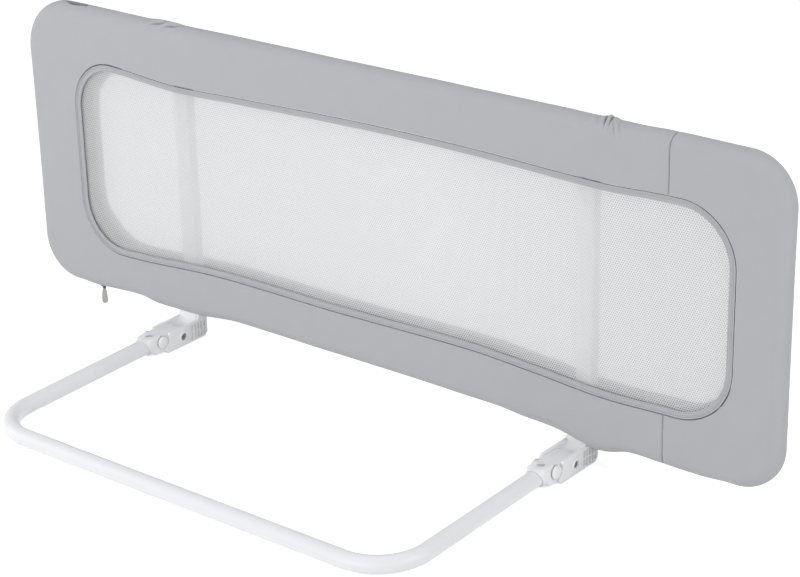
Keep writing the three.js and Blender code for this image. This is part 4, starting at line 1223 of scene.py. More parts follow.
@dataclass
class Window:
    """One window: the binding tape round it, its two rows of stitches and the mesh sheet in it.

    Attributes:
        plan: The panel's outlines.
        face: Front or back.
        width: Width of the tape.
        gap: Gap between the tape and the cover's edge.
        crown: How far the flat band stands proud of the cover.
        bead: Width of the bead along its outer edge.
        bead_rise: How far the bead stands proud of the cover.
        wall: Thickness of the tape.
        lap: How far the mesh runs under the tape.
        stitch: Length of a stitch and the gap after it.
        shaded_rows: How many rows of its section get the painted shadow line beside the cover.
        corner_fill: How much wider the back tape is at the left corners, as a share of its width.
        end_fill: How much wider it is all along the left end.
        fill_reach: How far the widening at a corner and along the end reaches.
        corner_inset: Distance of the widest place at a corner from the left end.
        thread: Radius of the stitches' thread.
        rounds: Corners round the window, for the tape and for the path of the stitches.
        mesh_grid: Corners along and up the mesh sheet.
        slack: How far the mesh sheet waves.
    """

    plan: PanelPlan
    face: Face
    width: float = 10 * MM
    gap: float = 1.3 * MM
    crown: float = 0.1 * MM
    bead: float = 2.2 * MM
    bead_rise: float = 1.2 * MM
    wall: float = 1.5 * MM
    lap: float = 5 * MM
    stitch: Vec2 = (2.6 * MM, 1.0 * MM)
    shaded_rows: int = 2
    corner_fill: float = 0.0
    end_fill: float = 0.0
    fill_reach: Vec2 = (45 * MM, 60 * MM)
    corner_inset: float = 18 * MM
    thread: float = 0.32 * MM
    rounds: Tuple[int, int] = (520, 1400)
    mesh_grid: Tuple[int, int] = (241, 57)
    slack: float = 0.5 * MM

    def outline(self, count: int) -> np.ndarray:
        """The window's closed outline, evenly spaced.

        Args:
            count: How many points.

        Returns:
            The points in X and Z.
        """
        plan = self.plan
        left_start, right_start = (plan.reach[end] - plan.window_corner for end in End)
        x = np.linspace(-left_start, right_start, 200)
        right = np.vstack(plan.window_end(End.RIGHT, right_start, 60))
        left = np.vstack(plan.window_end(End.LEFT, left_start, 60))[::-1]
        upper = np.stack([x, plan.window_height(Edge.TOP, x)], -1)
        lower = np.stack([x, plan.window_height(Edge.BOTTOM, x)], -1)[::-1]
        return resample(joined([upper, right, lower, left]), count + 1)[:-1]

    def inward(self, loop: np.ndarray) -> np.ndarray:
        """Directions into the window at each point of its outline.

        Args:
            loop: The closed outline, clockwise seen from the front.

        Returns:
            Unit directions in X and Z.
        """
        run = np.roll(loop, -1, axis=0) - np.roll(loop, 1, axis=0)
        normal = np.stack([run[:, 1], -run[:, 0]], -1)
        return normal / np.linalg.norm(normal, axis=1, keepdims=True)

    def ring(self, loop: np.ndarray, profile: Sequence[Vec2]) -> np.ndarray:
        """Carries a profile round the window.

        Args:
            loop: The window's outline.
            profile: Distances into the window and out of the panel's middle plane.

        Returns:
            A grid of points that closes both ways.
        """
        inward, wider = self.inward(loop), self.widening(loop)
        grid = np.zeros((len(loop), len(profile), 3))
        for i, (into, out) in enumerate(profile):
            grid[:, i, [0, 2]] = loop + inward * (into * wider if into > self.bead else into)
            grid[:, i, 1] = self.plan.middle_y + self.face.value * out
        return grid

    def widening(self, loop: np.ndarray) -> np.ndarray:
        """How much wider the tape is at each point.

        Args:
            loop: The window's outline.

        Returns:
            A column of factors.
        """
        left = -self.plan.reach[End.LEFT]
        at_corner, at_end = self.fill_reach
        wider = 1 + self.end_fill * np.exp(-((loop[:, 0:1] - left) / at_end)**2)
        for height in (loop[:, 1].max(), loop[:, 1].min()):
            away = np.linalg.norm(loop - [left + self.corner_inset, height], axis=1, keepdims=True)
            wider = wider + self.corner_fill * np.exp(-(away / at_corner)**2)
        return wider

    def tape_profile(self) -> List[Vec2]:
        """The tape's section: a narrow bead where it is turned over the cover's edge, then a flat band.

        Returns:
            Pairs of distance into the window and distance from the middle plane.
        """
        near, far = self.gap, self.width
        face, back = self.plan.radius, self.plan.radius - self.wall
        edge, groove, proud, beside = 0.5 * MM, 0.5 * MM, face + self.crown, 0.8 * MM
        middle, half = near + self.bead / 2, self.bead / 2
        top = [(near, back + edge)]
        for turn in np.radians(np.linspace(180, 0, 7)):
            rise = (groove + self.bead_rise) * math.sin(turn)
            top.append((middle + half * math.cos(turn), face - groove + rise))
        start = near + self.bead + 0.35 * MM
        top += [(start, face - groove), (start + 0.3 * MM, face + self.crown * 0.8)]
        for row in self.stitch_rows():
            top += [(row - beside, proud), (row, proud - 0.2 * MM), (row + beside, proud)]
        top += [(far - 2 * edge, face + self.crown * 0.8), (far - edge / 2, face), (far, face - edge)]
        return top + [(far, back + edge / 2), (far - edge, back), (near + edge, back)]

    def stitch_rows(self) -> Tuple[float, float]:
        """Distances of the two rows of stitches from the window's outline."""
        return self.gap + self.bead + 2.2 * MM, self.width - 1.6 * MM

    def build_tape(self) -> bpy.types.Object:
        """Makes the binding tape.

        Returns:
            The tape.
        """
        grid = self.ring(self.outline(self.rounds[0]), self.tape_profile())
        piece = sheet_mesh(self.face.name.lower() + "_window_tape", grid, (True, True))
        recalculate(piece)
        settle(piece, 50.0)
        return piece

    def build_stitches(self) -> bpy.types.Object:
        """Makes both rows of stitches: short threads that dive into the tape at their ends.

        Returns:
            The thread.
        """
        length, gap = self.stitch
        along = np.array([-0.5, -0.42, 0.0, 0.42, 0.5]) * length
        rise = np.array([-0.25, 0.12, 0.2, 0.12, -0.25]) * MM
        section = [(math.cos(a) * self.thread, math.sin(a) * self.thread)
                   for a in np.radians([0, 60, 120, 180])]
        size = len(section)
        level = self.plan.radius + self.crown - 0.15 * MM
        verts: List[Vec3] = []
        faces: List[Tuple[int, ...]] = []
        loop = self.outline(self.rounds[1])
        for row in self.stitch_rows():
            path = loop + self.inward(loop) * row
            total = np.linalg.norm(np.diff(path, axis=0, append=path[:1]), axis=1).sum()
            places = resample(np.vstack([path, path[:1]]), int(total / (length + gap)) + 1)
            for here, there in zip(places[:-1], places[1:]):
                run = (there - here) / max(np.linalg.norm(there - here), 1e-9)
                side = np.array([run[1], -run[0]])
                start = len(verts)
                for step, lift in zip(along, rise):
                    for across, high in section:
                        x, z = here + run * step + side * across
                        verts.append((x, self.plan.middle_y + self.face.value * (level + lift + high), z))
                for a in range(start, start + size * (len(along) - 1), size):
                    for j in range(size):
                        k = (j + 1) % size
                        faces.append((a + j, a + k, a + size + k, a + size + j))
                faces.append(tuple(range(start, start + size)))
                faces.append(tuple(reversed(range(len(verts) - size, len(verts)))))
        piece = new_piece(self.face.name.lower() + "_window_stitches", verts, faces)
        recalculate(piece)
        settle(piece, 80.0)
        return piece

    def build_mesh(self) -> bpy.types.Object:
        """Makes the mesh sheet: a fine grid inside the window's outline, drawn tight.

        Returns:
            The sheet.
        """
        plan = self.plan
        columns, rows = self.mesh_grid
        stretch, climb = np.linspace(0, 1, columns), np.linspace(0, 1, rows)
        outline_x = -plan.reach[End.LEFT] * (1 - stretch) + plan.reach[End.RIGHT] * stretch
        upper = plan.window_height(Edge.TOP, outline_x) - self.lap
        lower = plan.window_height(Edge.BOTTOM, outline_x) + self.lap
        grid = np.zeros((columns, rows, 3))
        grid[..., 0] = (outline_x + self.lap * (1 - 2 * stretch))[:, None]
        grid[..., 2] = lower[:, None] + (upper - lower)[:, None] * climb[None, :]
        depth = plan.radius - self.wall - self.gap - 0.8 * MM
        wave = np.sin(13 * grid[..., 0] + 7 * grid[..., 2]) * np.sin(np.pi * climb)[None, :]
        grid[..., 1] = plan.middle_y + self.face.value * (depth + self.slack * wave)
        piece = sheet_mesh(self.face.name.lower() + "_window_mesh", grid)
        settle(piece, 60.0)
        return piece

    def build(self, finishes: Finishes) -> None:
        """Makes and dresses the window's pieces.

        Args:
            finishes: The shared finishes.
        """
        side = self.face.name.lower()
        tape = dress(self.build_tape(), finishes.tape, "binding_fabric", Body.PANEL, side + "_binding")
        # Painted shade: the rows on the bead's outer flank get the darker tape, as the shadow line beside
        # the cover's edge.
        tape.data.materials.append(finishes.tape_painted_shade)
        columns = len(self.tape_profile())
        for polygon in tape.data.polygons:
            if max(corner % columns for corner in polygon.vertices) <= self.shaded_rows:
                polygon.material_index = 1
        thread = dress(self.build_stitches(), finishes.thread, "binding_fabric", Body.PANEL)
        mesh = dress(
            self.build_mesh(), finishes.mesh[self.face], "mesh_fabric", Body.PANEL, side + "_mesh")


@dataclass
class BaseTube:
    """The U-shaped base: one steel tube bent twice, its legs plugged into the knuckles.

    Attributes:
        plan: The panel's outlines.
        radius: Radius of the tube.
        wall: Thickness of its wall.
        bend: Radius of the bends' centre-line.
        reach: Distance of the front run from the panel's middle plane.
        mouth: Distance of the leg's slope's start from that plane.
        rear: Distance of the tube's rear ends from that plane.
        steps: Faces in each bend.
        sides: Faces round the tube.
        level: Height of its middle inside the knuckles.
        snap_hole: Radius of the holes for the spring buttons.
    """

    plan: PanelPlan
    radius: float = 11 * MM
    wall: float = 1.2 * MM
    bend: float = 66 * MM
    reach: float = 378 * MM
    mouth: float = 107.5 * MM
    rear: float = 82.3 * MM
    steps: int = 20
    sides: int = 40
    level: float = 14.5 * MM
    snap_hole: float = 4.8 * MM

    def build(self) -> bpy.types.Object:
        """Makes the tube: a ring extruded along the left leg, spun round both bends and down the right leg.

        Returns:
            The tube.
        """
        post, y = self.plan.post, self.plan.middle_y
        front = Vector((-post, y - self.reach, self.radius))
        hinge = Vector((-post, y - self.mouth, self.level))
        leg = (front - hinge).normalized()
        across = Vector((1, 0, 0))
        axis = leg.cross(across).normalized()
        deselect_all()
        bpy.ops.mesh.primitive_circle_add(
            vertices=self.sides, radius=self.radius, location=(-post, y - self.rear, self.level),
            rotation=(math.pi / 2, 0, 0))
        tube = bpy.context.object
        tube.name = "bent_base_tube"
        bpy.ops.object.transform_apply(location=True, rotation=True, scale=True)
        edit(tube)
        self.run(Vector((0, self.rear - self.mouth, 0)))
        self.run(front - leg * self.bend - hinge)
        centre = front - leg * self.bend + across * self.bend
        self.turn(centre, axis)
        self.run(across * (2 * (post - self.bend)))
        centre = centre + across * (2 * (post - self.bend))
        self.turn(centre, axis)
        self.run(-leg * ((front - hinge).length - self.bend))
        self.run(Vector((0, self.mouth - self.rear, 0)))
        close_edit()
        recalculate(tube)
        thicken(tube, self.wall, -1.0)
        for end in End:
            self.drill(tube, end)
        settle(tube, 50.0)
        return tube

    def drill(self, tube: bpy.types.Object, end: End) -> None:
        """Cuts the hole that the spring button comes up through.

        Args:
            tube: The tube.
            end: Left or right.
        """
        low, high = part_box(end.name.lower() + "_tube_snap_button")
        middle = ((low.x + high.x) / 2, (low.y + high.y) / 2, self.level + self.radius)
        deselect_all()
        bpy.ops.mesh.primitive_cylinder_add(
            vertices=32, radius=self.snap_hole, depth=self.radius, location=middle)
        cutter = bpy.context.object
        hole = tube.modifiers.new("snap_hole", "BOOLEAN")
        hole.object = cutter
        hole.operation = "DIFFERENCE"
        apply_modifiers(tube)
        bpy.data.objects.remove(cutter)

    def run(self, move: Vector) -> None:
        """Extrudes the open ring straight on.

        Args:
            move: The way that it goes.
        """
        bpy.ops.mesh.extrude_region_move(TRANSFORM_OT_translate={"value": tuple(move)})

    def turn(self, centre: Vector, axis: Vector) -> None:
        """Spins the open ring through a quarter turn, against the clock seen along the axis.

        Args:
            centre: A point on the axis of the turn.
            axis: Its direction.
        """
        bpy.ops.mesh.spin(
            steps=self.steps, angle=-math.pi / 2, center=tuple(centre), axis=tuple(axis), dupli=False)

    def make(self, finishes: Finishes) -> None:
        """Makes and dresses the tube.

        Args:
            finishes: The shared finishes.
        """
        dress(self.build(), finishes.powder, "white_powder_coat", Body.BASE, "base_tube")


@dataclass
class Moulding:
    """A rigid piece whose sharp edges are eased as the mould or the press leaves them.

    Attributes:
        node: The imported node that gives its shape.
        edge: Radius of the eased edges.
        smooth: The widest angle in degrees that is shaded smooth.
        level: Faces that lie within this angle of each other, in degrees, become one.
        sharp: The narrowest angle in degrees between two faces whose edge is eased.
    """

    node: str
    edge: float = 0.5 * MM
    smooth: float = 40.0
    level: float = 0.5
    sharp: float = 32.0

    def build(self, source: bpy.types.Object,
              shape: Optional[Callable[[bpy.types.Object], None]] = None) -> bpy.types.Object:
        """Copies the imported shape, merges its faces and eases its edges.

        Args:
            source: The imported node's object.
            shape: Changes the merged copy before its edges are eased.

        Returns:
            The piece.
        """
        piece = source.copy()
        piece.data = source.data.copy()
        piece.parent = None
        for key in list(piece.keys()):
            del piece[key]
        piece.name = "eased_" + self.node
        piece.hide_render = piece.hide_viewport = False
        bpy.context.scene.collection.objects.link(piece)
        if "custom_normal" in piece.data.attributes:
            piece.data.attributes.remove(piece.data.attributes["custom_normal"])
        edit(piece)
        bpy.ops.mesh.remove_doubles(threshold=2e-6)
        bpy.ops.mesh.dissolve_limited(angle_limit=math.radians(self.level))
        close_edit()
        if shape:
            shape(piece)
        bevel = piece.modifiers.new("eased_edges", "BEVEL")
        bevel.width = self.edge
        bevel.segments = 2
        bevel.limit_method = "ANGLE"
        bevel.angle_limit = math.radians(self.sharp)
        apply_modifiers(piece)
        settle(piece, self.smooth)
        return piece


@dataclass
class Hinges:
    """Both hinges: knuckle, fork, buttons, bolt and nut, with their springs.

    Attributes:
        nodes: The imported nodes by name.
        collar: Where the top of the collar's mouth lies along Y; the tube is plain in front of it.
        collar_run: Length of the knuckle, from its packed mouth, that is drawn back with the mouth.
        slant: How much further back the mouth lies for each step down.
        hole_reach: Half the room round the hole for the tube's spring button.
        button_gap: Room between a release button's pocket and the part that is drawn back.
        pocket_depth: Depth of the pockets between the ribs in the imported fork.
        pocket_fill: How much shallower the pockets look.
        swell: How far the release buttons' caps fill their pockets, as a factor.
        snap_tip: Height of the spring button's tip, and how much lower it is set.
        snap_narrow: How narrow the tip is, as a factor.
        rim: Middle radius of the raised rim round the pivot, and the radius of its section.
    """

    nodes: Dict[str, bpy.types.Object]
    collar: float = 80.5 * MM
    collar_run: float = 52 * MM
    slant: float = 0.42
    hole_reach: float = 6.6 * MM
    button_gap: float = 0.6 * MM
    pocket_depth: float = 3 * MM
    pocket_fill: float = 1.4 * MM
    swell: float = 1.012
    snap_tip: Vec2 = (1.5 * MM, 1.6 * MM)
    snap_narrow: float = 0.75
    rim: Vec2 = (6.1 * MM, 1.0 * MM)

    def move(self, piece: bpy.types.Object, where: Callable[[Vector], bool],
             to: Callable[[Vector], Vector]) -> None:
        """Moves some of a piece's corners.

        Args:
            piece: The mesh object.
            where: Says which corners move.
            to: Gives a corner's new place.
        """
        for vertex in piece.data.vertices:
            if where(vertex.co):
                vertex.co = to(vertex.co)
        piece.data.update()

    def shape_knuckle(self, piece: bpy.types.Object, end: str, part: str) -> None:
        """Cuts the collar's mouth short, aslant, and leaves the holes for the buttons alone.

        Args:
            piece: The knuckle.
            end: Left or right.
            part: The rest of its name.
        """
        low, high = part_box(f"{end}_{part}")
        snap_low, snap_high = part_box(end + "_tube_snap_button")
        front = (snap_low.y + snap_high.y) / 2 - self.hole_reach
        back = low.y + self.collar_run
        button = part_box(end + "_outer_release_button")[0].z - self.button_gap

        def set_back(p: Vector) -> Vector:
            """Finds the new place of a corner of the collar.

            Args:
                p: Its packed place.

            Returns:
                Its new place.
            """
            raised = min(1.0, max(0.0, (p.z - low.z) / (button - low.z)))
            still = back + (front - back) * raised
            mouth = self.collar + self.slant * (high.z - p.z)
            return Vector((p.x, p.y + (mouth - low.y) * max(0.0, (still - p.y) / (still - low.y)), p.z))

        self.move(piece, lambda p: p.y < back, set_back)

    def shape_fork(self, piece: bpy.types.Object, end: str, part: str) -> None:
        """Makes the pockets between the ribs shallower.

        Args:
            piece: The fork.
            end: Left or right.
            part: The rest of its name.
        """
        low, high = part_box(f"{end}_{part}")
        middle, floor = (low.x + high.x) / 2, (high.x - low.x) / 2 - self.pocket_depth
        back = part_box(end + "_pivot_bolt")[1].y
        self.move(piece, lambda p: p.y > back and abs(abs(p.x - middle) - floor) < 0.05 * MM,
                  lambda p: Vector((p.x + math.copysign(self.pocket_fill, p.x - middle), p.y, p.z)))

    def shape_release_button(self, piece: bpy.types.Object, end: str, part: str) -> None:
        """Fills the cap's pocket, so that only a thin line stays round it.

        Args:
            piece: The button.
            end: Left or right.
            part: The rest of its name.
        """
        low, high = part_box(f"{end}_{part}")
        centre = (low + high) / 2
        self.move(piece, lambda p: True, lambda p: Vector((
            p.x, centre.y + (p.y - centre.y) * self.swell, centre.z + (p.z - centre.z) * self.swell)))

    def shape_snap_button(self, piece: bpy.types.Object, end: str, part: str) -> None:
        """Narrows the tip that shows in the hole and sets it a little lower.

        Args:
            piece: The button.
            end: Left or right.
            part: The rest of its name.
        """
        low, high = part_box(f"{end}_{part}")
        centre, narrow = (low + high) / 2, self.snap_narrow
        tip, drop = self.snap_tip
        self.move(piece, lambda p: p.z > high.z - tip, lambda p: Vector((
            centre.x + (p.x - centre.x) * narrow, centre.y + (p.y - centre.y) * narrow, p.z - drop)))

    def build_rims(self, end: str) -> bpy.types.Object:
        """Makes the raised rims round the pivot on both cheeks.

        Args:
            end: Left or right.

        Returns:
            Both rims as one piece.
        """
        low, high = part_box(end + "_fork_bracket")
        bolt_low, bolt_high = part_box(end + "_pivot_bolt")
        pivot = (bolt_low + bolt_high) / 2
        radius, section = self.rim
        deselect_all()
        both = []
        for x in (low.x, high.x):
            bpy.ops.mesh.primitive_torus_add(
                major_radius=radius, minor_radius=section, major_segments=40, minor_segments=10,
                location=(x, pivot.y, pivot.z), rotation=(0, math.pi / 2, 0))
            both.append(bpy.context.object)
        rims = both[0]
        rims.name = end + "_pivot_rims"
        rims.select_set(True)
        bpy.context.view_layer.objects.active = rims
        bpy.ops.object.join()
        edit(rims)
        bpy.ops.mesh.normals_make_consistent(inside=False)
        close_edit()
        settle(rims, 60.0)
        return rims

    def make(self, finishes: Finishes) -> None:
        """Makes and dresses every piece of both hinges.

        Args:
            finishes: The shared finishes.
        """
        # The pivots' bolts and nuts get the darker zinc: partly duller plating, partly painted shade of
        # their recess.
        nylon, zinc = (finishes.nylon, "white_plastic"), (finishes.dull_shaded_zinc, "bright_steel")
        button = self.shape_release_button
        parts = (
            ("base_knuckle", 0.5 * MM, nylon, Body.BASE, self.shape_knuckle),
            ("fork_bracket", 0.6 * MM, nylon, Body.PANEL, self.shape_fork),
            ("pivot_bolt", 0.2 * MM, zinc, Body.PANEL, None),
            ("pivot_nut", 0.2 * MM, zinc, Body.PANEL, None),
            ("outer_release_button", 0.9 * MM, nylon, None, button),
            ("inner_release_button", 0.9 * MM, nylon, None, button),
            ("tube_snap_button", 0.3 * MM, nylon, None, self.shape_snap_button))
        for end in ("left", "right"):
            for part, edge, (material, slot), body, shape in parts:
                node = f"{end}_{part}"
                change = partial(shape, end=end, part=part) if shape else None
                piece = Moulding(node, edge).build(self.nodes[node], change)
                dress(piece, material, slot, body or node, node)
            # The rims get the lighter painted-light white, which shows as a painted highlight round the
            # pivot.
            dress(self.build_rims(end), finishes.upright, "white_plastic", Body.PANEL)
            for spring in ("outer_release_spring", "inner_release_spring", "tube_snap_spring"):
                paint(self.nodes[end + "_" + spring], finishes.spring)


@dataclass
class InnerFrame:
    """The frame inside the cover: uprights, rails, bows, hubs and their screws.

    Attributes:
        nodes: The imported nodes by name.
        shift: How far the uprights stand along the rail and towards the back mesh, in metres.
    """

    nodes: Dict[str, bpy.types.Object]
    shift: Vec2 = (2.4 * MM, 5.4 * MM)

    def stand_back(self, piece: bpy.types.Object) -> None:
        """Sets an upright nearer to the back mesh, where the photograph shows it.

        Args:
            piece: The upright.
        """
        for vertex in piece.data.vertices:
            vertex.co += Vector((*self.shift, 0.0))

    def make(self, finishes: Finishes) -> None:
        """Dresses the frame. The uprights, which show through the mesh, get eased edges.

        Args:
            finishes: The shared finishes.
        """
        for name in ("top_rail", "bottom_rail", "left_end_bow", "right_end_bow"):
            paint(self.nodes[name], finishes.powder)
        for end in ("left", "right"):
            name = end + "_upright"
            upright = Moulding(name, 0.3 * MM).build(self.nodes[name], self.stand_back)
            # The uprights get the lighter painted-light white, so that they look lit through the mesh.
            dress(upright, finishes.upright, "white_powder_coat", Body.PANEL, name)
            for part in ("top_tee", "bottom_connector"):
                paint(self.nodes[f"{end}_{part}"], finishes.nylon)
            for part in ("post", "top_rail", "top_bow", "bottom_rail", "bottom_bow"):
                paint(self.nodes[f"{end}_{part}_screw"], finishes.zinc)


@dataclass
class Zip:
    """The zip round the cover's left end: a tape with two rows of teeth, its slider and its pull.

    Attributes:
        plan: The panel's outlines.
        nodes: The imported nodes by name.
        top: Where the zip ends on the top edge.
        bottom: Where it ends on the hem.
        depth: How far the tape lies below the cover's surface.
        half_tape: Half the tape's width.
        wall: Thickness of the tape.
        pitch: Distance between two teeth of a row.
        tooth: Length of a tooth along, across and out of the tape.
        row_share: Distance of each row's middle from the zip's middle, in lengths of a tooth.
        twist: How far the pull hangs turned, in degrees.
        strap: Half the pull's width below its eye and above its round end.
        stretch: How much longer the pull is below its eye, as a factor.
    """

    plan: PanelPlan
    nodes: Dict[str, bpy.types.Object]
    top: float
    bottom: float
    depth: float = 1.45 * MM
    half_tape: float = 5.1 * MM
    wall: float = 0.4 * MM
    pitch: float = 1.6 * MM
    tooth: Vec3 = (0.9 * MM, 2.0 * MM, 0.9 * MM)
    row_share: float = 0.496
    twist: float = -40.0
    strap: Vec2 = (3.0 * MM, 4.3 * MM)
    stretch: float = 1.15

    def path(self) -> Tuple[np.ndarray, np.ndarray]:
        """The zip's run round the left end.

        Returns:
            Its stations in X and Z, and the outward direction at each.
        """
        outer = joined(self.plan.outer_end(End.LEFT, -self.bottom, 60))
        keep = (outer[:, 0] < self.top) | (outer[:, 1] < self.plan.middle_z)
        return outer[keep], outward_normals(outer, self.plan)[keep]

    def build_tape(self) -> bpy.types.Object:
        """Makes the tape, curved like the rolled edge above it.

        Returns:
            The tape.
        """
        outer, normals = self.path()
        plan = self.plan
        radius = plan.radius - self.depth
        spread = self.half_tape / radius
        inset = outer - normals * plan.radius
        rows = []
        for angle in np.linspace(-spread, spread, 7):
            place = inset + normals * radius * math.cos(angle)
            level = np.full(len(outer), plan.middle_y + radius * math.sin(angle))
            rows.append(np.stack([place[:, 0], level, place[:, 1]], -1))
        piece = sheet_mesh("zip_tape", np.stack(rows, 1))
        thicken(piece, self.wall, 0.0)
        recalculate(piece)
        settle(piece, 40.0)
        return piece

    def build_teeth(self) -> bpy.types.Object:
        """Makes one tooth, then copies it along both rows, half a step apart.

        Returns:
            The teeth.
        """
        outer, normals = self.path()
        line = outer - normals * (self.depth - self.wall / 2 - self.tooth[2] / 2)
        run = np.concatenate([[0.0], np.cumsum(np.linalg.norm(np.diff(line, axis=0), axis=1))])
        corners = np.array([(a, b, c) for a in (-0.5, 0.5) for b in (-0.5, 0.5) for c in (-0.5, 0.5)])
        # A tooth is a little smaller at its outer side.
        corners = corners * np.array(self.tooth) * np.where(corners[:, 2:] > 0, [0.7, 0.85, 1], [1, 1, 1])
        sides = [(0, 1, 3, 2), (4, 6, 7, 5), (0, 4, 5, 1), (2, 3, 7, 6), (1, 5, 7, 3), (0, 2, 6, 4)]
        verts: List[Vec3] = []
        faces: List[Tuple[int, ...]] = []
        for row, first in ((-1, self.pitch), (1, 1.5 * self.pitch)):
            middle = self.plan.middle_y + row * self.row_share * self.tooth[1]
            for at in np.arange(first, run[-1] - self.pitch, self.pitch):
                x, z = (np.interp(at, run, line[:, i]) for i in (0, 1))
                out = np.array([np.interp(at, run, normals[:, i]) for i in (0, 1)])
                out = out / np.linalg.norm(out)
                faces.extend(tuple(len(verts) + v for v in side) for side in sides)
                verts.extend(
                    (x + out[1] * a + out[0] * c, middle + b, z - out[0] * a + out[1] * c)
                    for a, b, c in corners)
        piece = new_piece("zip_teeth", verts, faces)
        recalculate(piece)
        settle(piece, 30.0)
        return piece

    def shape_pull(self, piece: bpy.types.Object) -> None:
        """Widens the pull's waist and makes it a little longer, as the photograph shows it.

        Args:
            piece: The pull.
        """
        low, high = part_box("zip_pull")
        middle, neck, belly = (low.y + high.y) / 2, low.z + 0.75 * (high.z - low.z), low.z + self.strap[1]
        for vertex in piece.data.vertices:
            p = vertex.co
            if p.z > neck:
                continue
            share = min(1.0, (neck - p.z) / (neck - belly))
            least = self.strap[0] + (self.strap[1] - self.strap[0]) * share
            if p.z > belly:
                p.y = middle + math.copysign(max(abs(p.y - middle), least), p.y - middle)
            p.z = neck - (neck - p.z) * self.stretch

    def make(self, finishes: Finishes) -> None:
        """Makes and dresses the zip.

        Args:
            finishes: The shared finishes.
        """
        tape = dress(self.build_tape(), finishes.zip_tape, "cover_fabric", Body.PANEL, "zip_chain")
        teeth = dress(self.build_teeth(), finishes.thread, "cover_fabric", Body.PANEL)
        slider = Moulding("zip_slider", 0.2 * MM).build(self.nodes["zip_slider"])
        # The slider gets the copy painted nearly black, as the shade under the hem.
        dress(slider, finishes.zip_slider, "zip_metal", Body.SLIDER, "zip_slider")
        pull = Moulding("zip_pull", 0.2 * MM).build(self.nodes["zip_pull"], self.shape_pull)
        low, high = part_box("zip_pull")
        edit(pull)
        bpy.ops.transform.rotate(
            value=-math.radians(self.twist), orient_axis="Z", center_override=tuple((low + high) / 2))
        close_edit()
        dress(pull, finishes.zip_metal, "zip_metal", Body.PULL, "zip_pull")


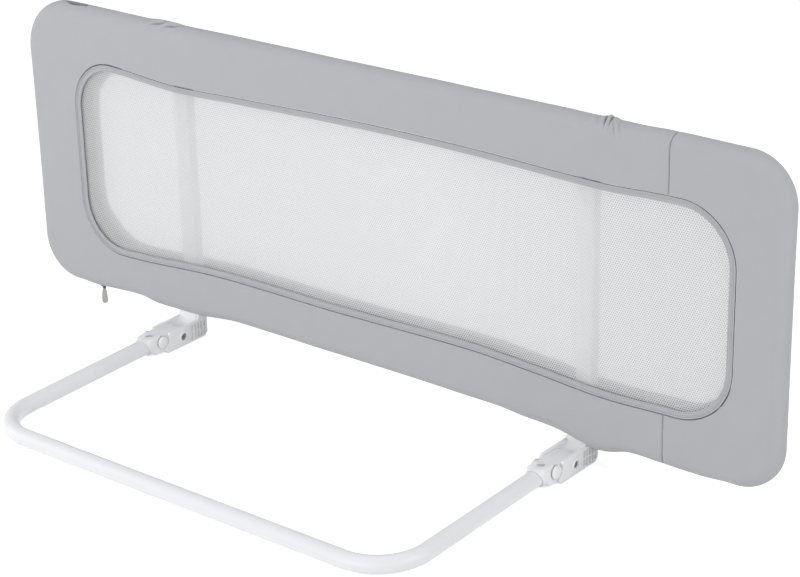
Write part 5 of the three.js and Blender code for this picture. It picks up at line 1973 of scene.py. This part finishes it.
@dataclass
class Studio:
    """The camera at the photograph's viewing angle, the pale floor and the soft lamps.

    Attributes:
        focal_px: The lens in pixels of the photograph.
        frame_px: The photograph's width in pixels.
        azimuth: The way the camera looks, in degrees from +Y towards -X.
        elevation: How far it looks down, in degrees.
        roll: Its roll in degrees.
        place: Its place in metres.
        aim: The point that the lamps shine at.
        floor_drop: How far the floor lies below the rail, so that no two faces fall together.
        floor_glow: How brightly the floor shines where it is seen.
        fill: Strength of the surroundings' light on the rail.
        lamps: Each lamp's place, the side of its square and its power in watts.
    """

    focal_px: float = 2264.9
    frame_px: float = 800.0
    azimuth: float = 38.848
    elevation: float = 22.865
    roll: float = -1.363
    place: Vec3 = (1.70415, -1.87436, 1.2727)
    aim: Vec3 = (0.0, 0.1, 0.2)
    floor_drop: float = 0.8 * MM
    floor_glow: float = 0.55
    fill: float = 0.39
    lamps: Dict[str, Tuple[Vec3, float, float]] = field(default_factory=lambda: {
        "right_side": ((2.6, 0.2, 1.2), 1.4, 19.5), "overhead": ((0.0, 0.2, 2.8), 2.4, 18.0),
        "left_low": ((-2.2, -1.2, 0.7), 1.6, 15.0), "front_low": ((0.0, -2.8, 0.8), 2.0, 34.0)})

    def camera(self) -> None:
        """Places the camera."""
        data = bpy.data.cameras.new("camera")
        data.sensor_width = 36.0
        data.lens = self.focal_px / self.frame_px * data.sensor_width
        data.clip_start = 0.05
        data.clip_end = 50.0
        camera = bpy.data.objects.new("camera", data)
        bpy.context.scene.collection.objects.link(camera)
        turn, dip, roll = (math.radians(v) for v in (self.azimuth, self.elevation, self.roll))
        forward = Vector((-math.sin(turn) * math.cos(dip), math.cos(turn) * math.cos(dip), -math.sin(dip)))
        right = Vector((math.cos(turn), math.sin(turn), 0))
        up = right.cross(forward)
        rolled_right = right * math.cos(roll) + up * math.sin(roll)
        rolled_up = up * math.cos(roll) - right * math.sin(roll)
        matrix = Matrix((rolled_right, rolled_up, -forward)).transposed().to_4x4()
        matrix.translation = Vector(self.place)
        camera.matrix_world = matrix
        bpy.context.scene.camera = camera

    def light(self) -> None:
        """Hangs the square lamps."""
        for name, (place, size, power) in self.lamps.items():
            data = bpy.data.lights.new(name, "AREA")
            data.size = size
            data.energy = power
            lamp = bpy.data.objects.new(name, data)
            lamp.location = place
            lamp.rotation_euler = (Vector(self.aim) - lamp.location).to_track_quat("-Z", "Y").to_euler()
            bpy.context.scene.collection.objects.link(lamp)

    def seen(self, tree: bpy.types.NodeTree) -> Socket:
        """Tells what the camera sees, also through the mesh and in a reflection.

        Args:
            tree: The node tree.

        Returns:
            A socket that is one for what is seen, and nought for what only lights the object.
        """
        path = add_node(tree, "ShaderNodeLightPath").outputs
        through = calc(tree, "MAXIMUM", path["Is Camera Ray"], path["Is Transmission Ray"])
        return calc(tree, "MAXIMUM", through, path["Is Glossy Ray"])

    def floor(self) -> None:
        """Lays the pale floor. It looks white to the camera and keeps the object's shadow."""
        deselect_all()
        bpy.ops.mesh.primitive_plane_add(size=60, location=(0, 0, -self.floor_drop))
        floor = bpy.context.object
        floor.name = "studio_floor"
        material, tree, shader = Finish("studio_white", "f4f4f4", 0.9).start()
        shader.inputs["Emission Color"].default_value = (1, 1, 1, 1)
        glow = calc(tree, "MULTIPLY", self.seen(tree), self.floor_glow)
        tree.links.new(glow, shader.inputs["Emission Strength"])
        floor.data.materials.append(material)

    def world(self) -> None:
        """Fills the surroundings: white to the camera, softer on the object."""
        world = bpy.data.worlds.new("studio")
        world.use_nodes = True
        tree = world.node_tree
        background = tree.nodes["Background"]
        background.inputs["Color"].default_value = (1, 1, 1, 1)
        strength = span(tree, self.seen(tree), goal=(self.fill, 1.0))
        tree.links.new(strength, background.inputs["Strength"])
        bpy.context.scene.world = world

    def build(self) -> None:
        """Sets up camera, floor, surroundings and lamps."""
        bpy.context.scene.view_settings.view_transform = "Standard"
        self.camera()
        self.floor()
        self.world()
        self.light()


def main() -> None:
    """Builds the rail piece by piece, then the studio."""
    logging.basicConfig(level=logging.INFO, format="%(name)s %(message)s")
    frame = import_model()
    nodes = frame["nodes"]
    Studio().build()
    finishes = Finishes()
    plan = PanelPlan()
    cover = Cover(plan)
    cover.build()
    cover.dress(finishes)
    Window(plan, Face.FRONT).build(finishes)
    Window(plan, Face.BACK, gap=0.4 * MM, corner_fill=0.75, end_fill=0.45).build(finishes)
    BaseTube(plan).make(finishes)
    Hinges(nodes).make(finishes)
    InnerFrame(nodes).make(finishes)
    Zip(plan, nodes, cover.zip_top, cover.zip_bottom).make(finishes)
    deselect_all()


if __name__ == "__main__":
    main()
